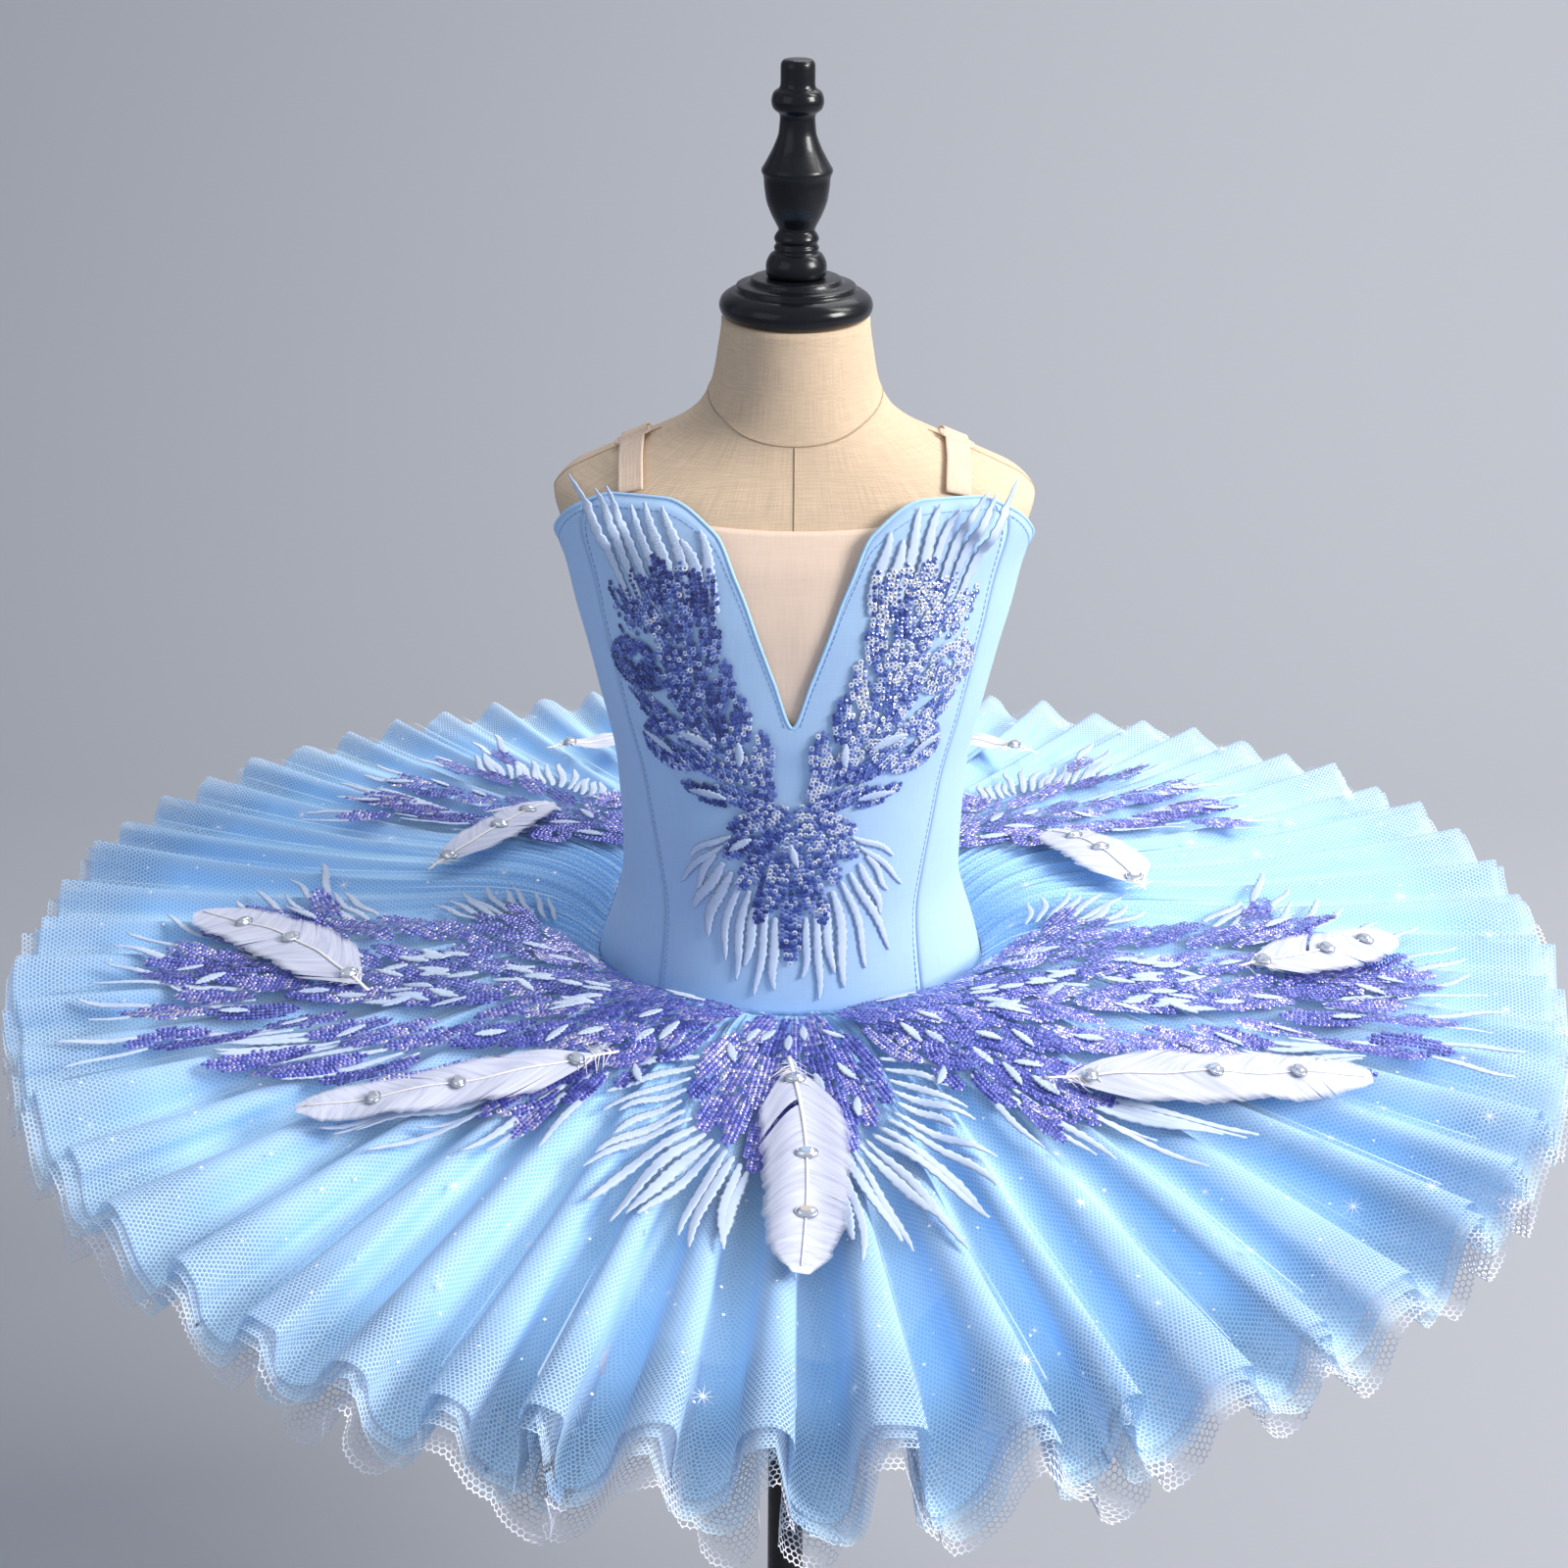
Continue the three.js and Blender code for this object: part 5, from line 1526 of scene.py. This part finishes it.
wingBeds = rowsOf(
    "at reach heading count",
    ((-176, -88), (44, 24), 172, 20), ((-118, -104), (26, 18), 176, 8))
wingBranches = rowsOf(
    "start heading long turn wide",
    ((-56, -126), 224, 130, -16, 26), ((-70, -96), 142, 136, 12, 28))
branchTiers = rowsOf(
    "from first last count slant long turn half leaves",
    (0.0, 0.0, 0.72, 6, (30, 14), 30, 0.2, 6.6, 0.4), (0.34, 0.06, 0.66, 4, (48, 26), 34, 0.5, 6.4, 0.15))
branchTip = {"at": 0.74, "count": 4, "spread": 26, "long": 36, "half": 6.2, "quills": 0}
backTiers = rowsOf(
    "from first last count slant long turn half leaves",
    (0.0, 0.0, 0.66, 7, (30, 16), 34, 0.15, 6.5, 0.5), (0.32, 0.05, 0.62, 6, (44, 24), 42, 0.3, 6.5, 0.2))
backTip = {"at": 0.66, "count": 5, "spread": 28, "long": 34, "half": 6.0, "quills": 2, "apart": 4.6,
           "fan": 0.2, "quillLong": 38, "quillHalf": 2.3}
backFans = rowsOf(
    "root end heading count long turn half",
    ((-186, 122), (-232, 168), (178, 152), 11, 58, -10, 2.3),
    ((-140, 180), (-194, 214), (84, 112), 11, 58, 10, 2.3),
    ((-112, 148), (-136, 174), (66, 84), 6, 40, 10, 2.2))
cupTiers = rowsOf(
    "from first last count slant long turn half leaves",
    (0.0, 0.0, 0.56, 7, (26, 16), 32, 0.15, 5.6, 0.1),
    (0.34, 0.06, 0.54, 5, (56, 34), 32, 0.55, 5.4, 0.1))
cupTip = {"at": 0.60, "count": 5, "spread": 14, "long": 28, "half": 4.6, "quills": 0}
cupFans = [
    {"root": (-39, 228), "end": (-84, 230), "heading": (98, 114), "count": 8, "long": 60, "turn": 5,
     "half": 3.0, "taper": 0.0, "grow": 0.34, "loose": 0.7},
]
fanTiers = rowsOf(
    "from long count spread droop half leaves",
    (42, 44, 5, 15, 6, 7.0, 0.5), (72, 56, 7, 22, 10, 7.6, 0.5), (112, 68, 9, 21, 34, 7.4, 0.3))
fanFans = rowsOf(
    "root end heading count long turn half",
    ((-52, -204), (-20, -246), (214, 258), 10, 92, 8, 3.0),
    ((-46, -160), (-54, -196), (190, 212), 5, 56, 12, 2.6))
tailTiers = rowsOf(
    "from long count spread droop half leaves",
    (4, 34, 5, 62, 2, 6.4, 0.1), (20, 42, 6, 46, 10, 6.8, 0.1), (42, 50, 3, 13, 14, 6.4, 0.0))
tailFans = [
    {"root": (-36, 86), "end": (-8, 56), "heading": (242, 264), "count": 7, "long": 54, "turn": 8,
     "half": 2.7, "taper": 0.12},
    {"root": (-32, 102), "end": (-40, 90), "heading": (206, 236), "count": 3, "long": 34, "turn": 12,
     "half": 1.9, "loose": 0.5},
]


def clearRows(design, sizes, seed):
    # Rows of sequins in plan, broken off where a higher plume already lies, each with its tier and tone.
    rng = np.random.default_rng(seed)
    taken = np.zeros((960, 960), bool)
    reach = sizes["rowGap"] * 0.9
    near = [(i, j) for i in range(-4, 5) for j in range(-4, 5) if math.hypot(i, j) <= reach]
    rows = []
    for line, half, tier in sorted(design["bands"], key=lambda band: -band[2]):
        tone = sizes["tone"] + rng.uniform(-0.24, 0.24)
        placed = []
        for row in bandRows(line, half, sizes["rowGap"]):
            cell = np.round(row).astype(int) + 480
            free = ~taken[cell[:, 0], cell[:, 1]] & (sizes["inside"] < np.hypot(row[:, 0], row[:, 1] * 1.22))
            for first, last in stretches(free):
                if last - first >= 3:
                    rows.append((row[first:last], tier, tone))
                    placed.append(cell[first:last])
        for cells in placed:
            for i, j in near:
                taken[cells[:, 0] + i, cells[:, 1] + j] = True
    return rows


def layTrim(name, node, lay, outline, design, sequins, sizes=trimPlan, rests="coverNet", lift=1.4):
    rows, ups, shades = [], [], []
    for row, tier, tone in clearRows(design, sizes, len(name)):
        x, y = row[:, 0], row[:, 1]
        rows.append(lay(x, y, lift + 1.2 + sizes["tierLift"] * tier))
        ups.append(outward(lambda u, v: lay(u, v, lift), x, y))
        # A slow wave of tone, plus the slope: paler towards +X, painted light from the key lamp's side.
        drift = 0.10 * np.sin(x / 13 + 1) * np.cos(y / 17) + sizes["toneSlope"] * x
        shades.append(tone + drift)
    values = {"Spacing": sizes["spacing"] * mm, "Radius": sizes["radius"] * mm, "Hole": sizes["hole"] * mm,
              "Cup": sizes["cup"] * mm, "Tilt": sizes["tilt"], "Uneven": sizes["uneven"],
              "Spread": sizes["spread"], "Seed": len(rows)}
    sparkle = runLines(name + "Sequins", rows, ups, "sequinRows", values, sequins, shades)
    settle(sparkle)
    paths, quillUps, halves = [], [], []
    for number, (line, half) in enumerate(design["quills"] + design["leaves"]):
        leaf = number >= len(design["quills"])
        if not leaf:
            t = np.linspace(0, 1, len(line))
            line = line + sideOf(line) * (quillPlan["wave"] * np.sin(1.9 * math.pi * t + number) * t)[:, None]
        above = quillPlan["lift"] + (sizes["tierLift"] * 2.6 + 0.9 if leaf else 0)
        paths.append(lay(line[:, 0], line[:, 1], lift + above))
        quillUps.append(outward(lambda u, v: lay(u, v, lift), line[:, 0], line[:, 1]))
        uneven = 1 + 0.1 * np.sin(np.arange(len(line)) * 1.7 + number)
        shape = plumeShape(len(line), half, 0.8) if leaf else quillShape(len(line), half)
        halves.append(shape * uneven * mm)
    stitched = stripPiece(name + "Quills", (paths, quillUps, halves), quillPlan["rise"], "satinWhite",
                          quillPlan["serrate"])

    x, y = outline[..., 0], outline[..., 1]
    backing = lay(x, y, lift)
    piece = gridPiece(name + "Tulle", backing, looks["trimTulle"], uv=(x * mm + 2.0, y * mm + 2.0))
    settle(piece, [node])
    spanX, spanY = (round(float(np.ptp(outline[..., k])) * mm, 3) for k in (0, 1))
    sequinCount = len(sparkle.data.polygons) // sequinSides
    say(f"{name}: {sequinCount} sequins, {len(paths)} quills, tulle {spanX} by {spanY} m")


def outlineGrid(place, steps=70, across=16, scallops=9, depth=0.07):
    s = np.linspace(0.0, 1.0, steps + 1)[:, None]
    r = np.linspace(-1, 1, across + 1)[None, :]
    edge = 1.0 + depth * np.sin(s * scallops * math.pi) - depth
    return place(s, r * edge)


frontFan = rowsOf(
    "x y left right",
    (0, -114, 6, 6), (0, -160, 32, 32), (0, -220, 60, 60), (0, -285, 80, 80), (0, -340, 74, 74),
    (0, -378, 44, 44))
backFan = [{"x": 0, "y": -0.92 * row["y"], "left": 0.92 * row["left"], "right": 0.92 * row["right"]}
           for row in frontFan]
frontWing = rowsOf(
    "x y left right",
    (-26, -112, 8, 6), (-80, -118, 64, 30), (-140, -112, 118, 96), (-200, -98, 138, 122),
    (-262, -82, 112, 112), (-318, -58, 52, 96), (-350, -44, 18, 52))
backWing = rowsOf(
    "x y left right",
    (-98, 92, 8, 10), (-130, 120, 42, 40), (-172, 150, 76, 82), (-214, 180, 88, 100), (-246, 202, 56, 66),
    (-264, 214, 20, 24))
bodiceWing = rowsOf(
    "x y left right",
    (-12, 120, 10, 8), (-34, 146, 34, 16), (-50, 176, 40, 26), (-60, 210, 34, 32), (-68, 240, 26, 30),
    (-74, 260, 18, 28), (-78, 276, 7, 12))
bodiceTail = rowsOf(
    "x y left right",
    (0, 114, 10, 10), (0, 98, 40, 40), (0, 76, 52, 52), (0, 44, 34, 34), (0, 10, 7, 7))


def mirrorDesign(design):
    return {kind: [(strip[0] * [-1, 1], *strip[1:]) for strip in strips] for kind, strips in design.items()}


def laySkirt(x, y, lift):
    return skirtTop(x, y, 0.4, lift)


def frontAngle(x, height):
    level = np.minimum(height, 279.0)
    angle = np.zeros(np.shape(x))
    for _ in range(12):
        r = bodyRadius(angle, level, bodiceGap(angle, level) + clothWall)
        angle = np.arcsin(np.clip(x / r, -0.98, 0.98))
    return angle, level


def layBodice(x, height, lift):
    angle, level = frontAngle(x, height)
    r = bodyRadius(angle, level, bodiceGap(angle, level) + clothWall + lift)
    return np.stack([x + 0 * r, -r * np.cos(angle), lineHeight + height], -1) * mm


def makePair(name, node, lay, design, grid, sequins, **settings):
    layTrim(name + "Left", node + "_left", lay, grid, design, sequins, **settings)
    layTrim(name + "Right", node + "_right", lay, (grid * [-1, 1])[:, ::-1], mirrorDesign(design), sequins,
            **settings)


def makeTrims():
    layTrim("trimFront", "trim_front", laySkirt, outlineGrid(spineMap(frontFan)),
            fanDesign(-72, 1, fanTiers, fanFans), "sequinViolet")
    upward = [{**fan, "root": (fan["root"][0], -fan["root"][1] - 14),
               "end": (fan["end"][0], -fan["end"][1] - 14),
               "heading": tuple(-h for h in fan["heading"]), "turn": -fan["turn"]} for fan in fanFans]
    layTrim("trimBack", "trim_back", laySkirt, outlineGrid(spineMap(backFan)),
            fanDesign(58, 2, fanTiers, upward, 1), "sequinViolet")
    wing = spineMap(frontWing)
    scrolls = [((-122, -62), 17, 1.2, -0.6, 1, 6.6, 4), ((-88, -158), 17, 1.15, 2.2, -1, 6.4, 4)]
    makePair("trimFront", "trim_front", laySkirt,
             wingDesign(wing, 3, wingTiers, wingTip, scrolls, wingFans, wingBranches, wingBeds),
             outlineGrid(wing, 90, 24), "sequinViolet")
    hind = spineMap(backWing)
    scrolls = [((-140, 92), 13, 1.15, 0.4, 1, 5.4, 4), ((-112, 146), 13, 1.15, 2.4, -1, 5.2, 4)]
    makePair("trimBack", "trim_back", laySkirt, wingDesign(hind, 4, backTiers, backTip, scrolls, backFans),
             outlineGrid(hind, 70, 18), "sequinViolet")
    settings = {"sizes": bodiceSequins, "rests": "bodiceCentreFront", "lift": 0.6}
    cup = spineMap(bodiceWing)
    scrolls = [((-62, 156), 17, 1.1, 0.3, -1, 6.0, 4), ((-80, 198), 13, 1.05, -0.8, -1, 5.2, 4)]
    makePair("trimBodice", "trim_bodice", layBodice, wingDesign(cup, 9, cupTiers, cupTip, scrolls, cupFans),
             outlineGrid(cup, 60, 12, 7, 0.05), "sequinIndigo", **settings)
    tail = spineMap(bodiceTail)
    layTrim("trimBodiceTail", "trim_bodice_tail", layBodice, outlineGrid(tail, 50, 14, 5, 0.06),
            fanDesign(122, 5, tailTiers, tailFans), "sequinIndigo", **settings)


# Feathers.
feathers = rowsOf(
    "name from to half arch",
    ("front", (0, -162), (6, -330), 22, 5),
    ("front_left", (-90, -166), (-246, -208), 17, 6),
    ("front_right", (132, -181), (298, -168), 22, 6),
    ("left", (-226, -96), (-334, -6), 22, 4),
    ("right", (246, -62), (338, -22), 20, 6),
    ("back_left", (-208, 42), (-148, 146), 17, 6),
    ("back_right", (202, 22), (154, 102), 23, 6),
    ("rear_left", (-158, 256), (-50, 288), 14, 4),
    ("rear_right", (158, 256), (50, 288), 14, 4))
featherShape = rowsOf(
    "along width",
    (0.0, 0.1), (0.16, 0.75), (0.4, 1.0), (0.75, 0.92), (0.93, 0.6), (1.0, 0.2))
featherPlan = {"lift": 5.2, "sweep": 0.24, "splits": 3, "steps": 12, "across": 9, "stones": (0.12, 0.5, 0.76),
               "wisps": 16, "shaftLift": 0.35, "shaftRise": 0.4, "shaftHalf": (1.2, 0.4)}
vaneWidth = readColumn(featherShape, "along", "width")


def featherSurface(plan, rng):
    start, end = np.array(plan["from"], float), np.array(plan["to"], float)
    length = float(np.linalg.norm(end - start))
    ahead = (end - start) / length
    beside = np.array([-ahead[1], ahead[0]])
    bow = rng.uniform(-0.06, 0.06) * length

    def surface(t, across):
        # t along the shaft, across in millimetres to its left.
        t, across = np.broadcast_arrays(np.asarray(t, float), np.asarray(across, float))
        centre = start + ahead * (t * length)[..., None] + beside * (bow * np.sin(math.pi * t))[..., None]
        place = centre + beside * across[..., None]
        base = skirtTop(place[..., 0], place[..., 1], 0.25, featherPlan["lift"])
        lifted = plan["arch"] * np.sin(math.pi * np.clip(t, 0, 1)) ** 0.8 - 0.0045 * across ** 2
        base[..., 2] += lifted * mm
        return base
    return surface, length


def vaneMesh(surface, length, half, rng):
    # Each side of the vane is a few stretches of barbs, parted by narrow slits that open towards the edge.
    points, faces, corners, base = [], [], [], 0
    v = np.linspace(0, 1, featherPlan["across"])[None, :]
    for side in (1, -1):
        cuts = np.sort(rng.uniform(0.08, 0.88, featherPlan["splits"]))
        edges = np.concatenate([[0.04], cuts, [0.995]])
        for first, last in zip(edges[:-1], edges[1:]):
            if last - first < 0.03:
                continue
            steps = max(4, int(featherPlan["steps"] * (last - first) * 4))
            t = np.linspace(first, last, steps)[:, None]
            slit = rng.uniform(0.3, 0.9) if rng.uniform() < 0.6 else rng.uniform(1.0, 2.2)
            middle = (first + last) / 2
            root = middle + (t - middle) * (1 - slit / ((last - first) * length) * v ** 3)
            tip = 1 - (1 - root) * (1 - featherPlan["sweep"])
            along = root + (tip - root) * v ** 1.3
            ragged = 1 + 0.035 * np.sin(t * 34 + side) + 0.03 * np.sin(t * 83 + 2 * side)
            ragged = ragged + 0.02 * np.sin(t * 170)
            across = half * vaneWidth(tip) * v * (1 + (ragged - 1) * v ** 2)
            grid = surface(along, side * across)
            grid[..., 2] += (rng.uniform(-0.5, 0.9) * v ** 2 + 0.12 * np.sin(t * length * 0.9) * v) * mm
            rows, columns = grid.shape[:2]
            quads = gridFaces(rows, columns, False, base)
            uv = gridUv(np.broadcast_to(t * length * mm, (rows, columns)) + 0.01,
                        np.broadcast_to(0.5 + side * v * 0.5, (rows, columns))).reshape(-1, 4, 2)
            if side > 0:
                quads, uv = quads[:, ::-1], uv[:, ::-1]
            points.append(grid.reshape(-1, 3))
            faces += quads.tolist()
            corners.append(uv.reshape(-1, 2))
            base += rows * columns
    return np.concatenate(points), faces, np.concatenate(corners)


def makeFeathers():
    rng = np.random.default_rng(21)
    for plan in feathers:
        name = plan["name"]
        surface, length = featherSurface(plan, rng)
        title = "feather" + "".join(word.capitalize() for word in name.split("_"))
        vane = meshObject(title, *vaneMesh(surface, length, plan["half"], rng), looks["plume"])
        settle(vane, [f"feather_{name}"])

        t = np.linspace(-0.02, 0.97, 50)
        shaft = surface(t, np.zeros(50))
        shaft[:, 2] += featherPlan["shaftLift"] * mm
        thick, thin = featherPlan["shaftHalf"]
        paths, halves = [shaft], [(thick - (thick - thin) * np.linspace(0, 1, 50)) * mm]
        for _ in range(featherPlan["wisps"]):
            # Down at the quill's end.
            root, side = rng.uniform(0.0, 0.14), rng.choice((-1, 1))
            reach = np.linspace(0, rng.uniform(5, 13), 12)
            wisp = surface(root + reach / length * rng.uniform(0.1, 1.0), side * reach)
            wisp[:, 2] += (0.6 * np.sin(reach * rng.uniform(0.3, 0.6))) * mm
            paths.append(wisp)
            halves.append(np.linspace(0.35, 0.12, 12) * mm)
        ups = [np.tile([0, 0, 1.0], (len(path), 1)) for path in paths]
        stripPiece(title + "Shaft", (paths, ups, halves), featherPlan["shaftRise"], "quillShaft")
        makeStones(title, surface)


stonePlan = {"long": 5.0, "wide": 3.6, "table": 0.55, "girdle": 1.5, "crown": 1.7, "sides": 10, "rim": 0.75,
             "cupSides": 28}


def makeStones(title, surface):
    gems, cups, gemFaces, cupFaces = [], [], [], []
    sides, fineSides = stonePlan["sides"], stonePlan["cupSides"]
    turn = np.arange(sides) / sides * tau
    for n, t in enumerate(featherPlan["stones"]):
        centre = surface(t, 0.0)
        ahead = surface(t + 0.01, 0.0) - surface(t - 0.01, 0.0)
        ahead /= np.linalg.norm(ahead)
        across = np.cross([0, 0, 1.0], ahead)
        across /= np.linalg.norm(across)
        up = np.cross(ahead, across)
        aim = turn + 0.2 * n

        def ring(scale, height, angles):
            return (centre + np.outer(np.cos(angles) * stonePlan["long"] * scale * mm, across)
                    + np.outer(np.sin(angles) * stonePlan["wide"] * scale * mm, ahead) + up * (height * mm))
        low = ring(0.96, 0.9, aim)
        girdle = ring(1.0, stonePlan["girdle"], aim)
        middle = ring(0.80, stonePlan["girdle"] + stonePlan["crown"] * 0.6, aim + math.pi / sides)
        table = ring(stonePlan["table"], stonePlan["girdle"] + stonePlan["crown"], aim)
        base = sum(len(g) for g in gems)
        gems.append(np.concatenate([low, girdle, middle, table]))
        gemFaces.append([base + k for k in range(sides)][::-1])
        gemFaces.append([base + 3 * sides + k for k in range(sides)])
        for k in range(sides):
            m = (k + 1) % sides
            facets = [(k, m, sides + m, sides + k), (sides + k, sides + m, 2 * sides + k),
                      (sides + m, 2 * sides + m, 2 * sides + k),
                      (2 * sides + k, 2 * sides + m, 3 * sides + m),
                      (2 * sides + k, 3 * sides + m, 3 * sides + k)]
            gemFaces += [[base + corner for corner in facet] for facet in facets]
        fine = np.arange(fineSides) / fineSides * tau
        edge = 1 + stonePlan["rim"] / stonePlan["long"]
        start = sum(len(c) for c in cups)
        cups.append(np.concatenate([ring(edge, 0.2, fine), ring(edge, 1.3, fine), ring(1.02, 1.75, fine),
                                    ring(0.9, 1.0, fine)]))
        cupFaces += gridFaces(4, fineSides, True, start).tolist()
        cupFaces.append([start + k for k in range(fineSides)][::-1])
        cupFaces.append([start + 3 * fineSides + k for k in range(fineSides)])
    stones = meshObject(title + "Stones", np.concatenate(gems), gemFaces, None, looks["gem"], flat=True)
    settle(stones)
    settle(meshObject(title + "StoneCups", np.concatenate(cups), cupFaces, None, looks["gemCup"]))


# Stitches and glitter.
def makeStitches():
    values = {"Pitch": bodicePlan["stitchPitch"] * mm, "Long": bodicePlan["stitch"] * mm,
              "Thread": bodicePlan["thread"] * mm}
    lines, ups = [], []

    def addLine(angle, height):
        lines.append(onBodice(angle, height, 0.05))
        ups.append(surfaceUps(onBodice, angle, height))
    for side in (-1, 1):
        h = np.linspace(2, 276, 120)
        addLine(side * (np.radians(princessAt(h)) - 2.6 / 95), h)
        addLine(side * np.radians(bodicePlan["sideSeam"] - 1.6) * np.ones(100), np.linspace(2, 218, 100))
    for side in (-1, 1):
        part = side * np.radians(np.linspace(3, 176, 400))
        addLine(part, topHeight(np.abs(np.degrees(part))) - 6)
    settle(runLines("bodiceTopstitch", lines, ups, "stitchLine", values, "satinThread"))


glitterPlan = {
    "glitterStars": {"Apart": 0.038, "Many": 700.0, "Reach": 0.0062, "Waist": 0.0005, "Rays": 9, "Seed": 5},
    "glitterDots": {"Apart": 0.016, "Many": 4000.0, "Reach": 0.00075, "Waist": 0.0006, "Rays": 6, "Seed": 6},
}


def makeGlitter(cover):
    for name, values in glitterPlan.items():
        values = {**values, "Lift": 0.0007, "Look": looks["glitter"]}
        piece = bakeTree(cover, trees["glitterScatter"], values, name)
        settle(piece)
        say(f"{name}: {len(piece.data.polygons)} faces")


# The whole.
makeCamera()
makeLights()
makeLooks()
makeFloor()
say("stand and form")
makeStand()
makeForm()
say("bodice")
makeBodice()
makeInsert()
makeBrief()
makeStraps()
say("skirt")
makeNets()
coverPiece = makeCover()
trees["sequinRows"] = sequinTree()
trees["stitchLine"] = stitchTree()
trees["glitterScatter"] = glitterTree()
makeGlitter(coverPiece)
say("trims")
makeTrims()
makeStitches()
say("feathers")
makeFeathers()
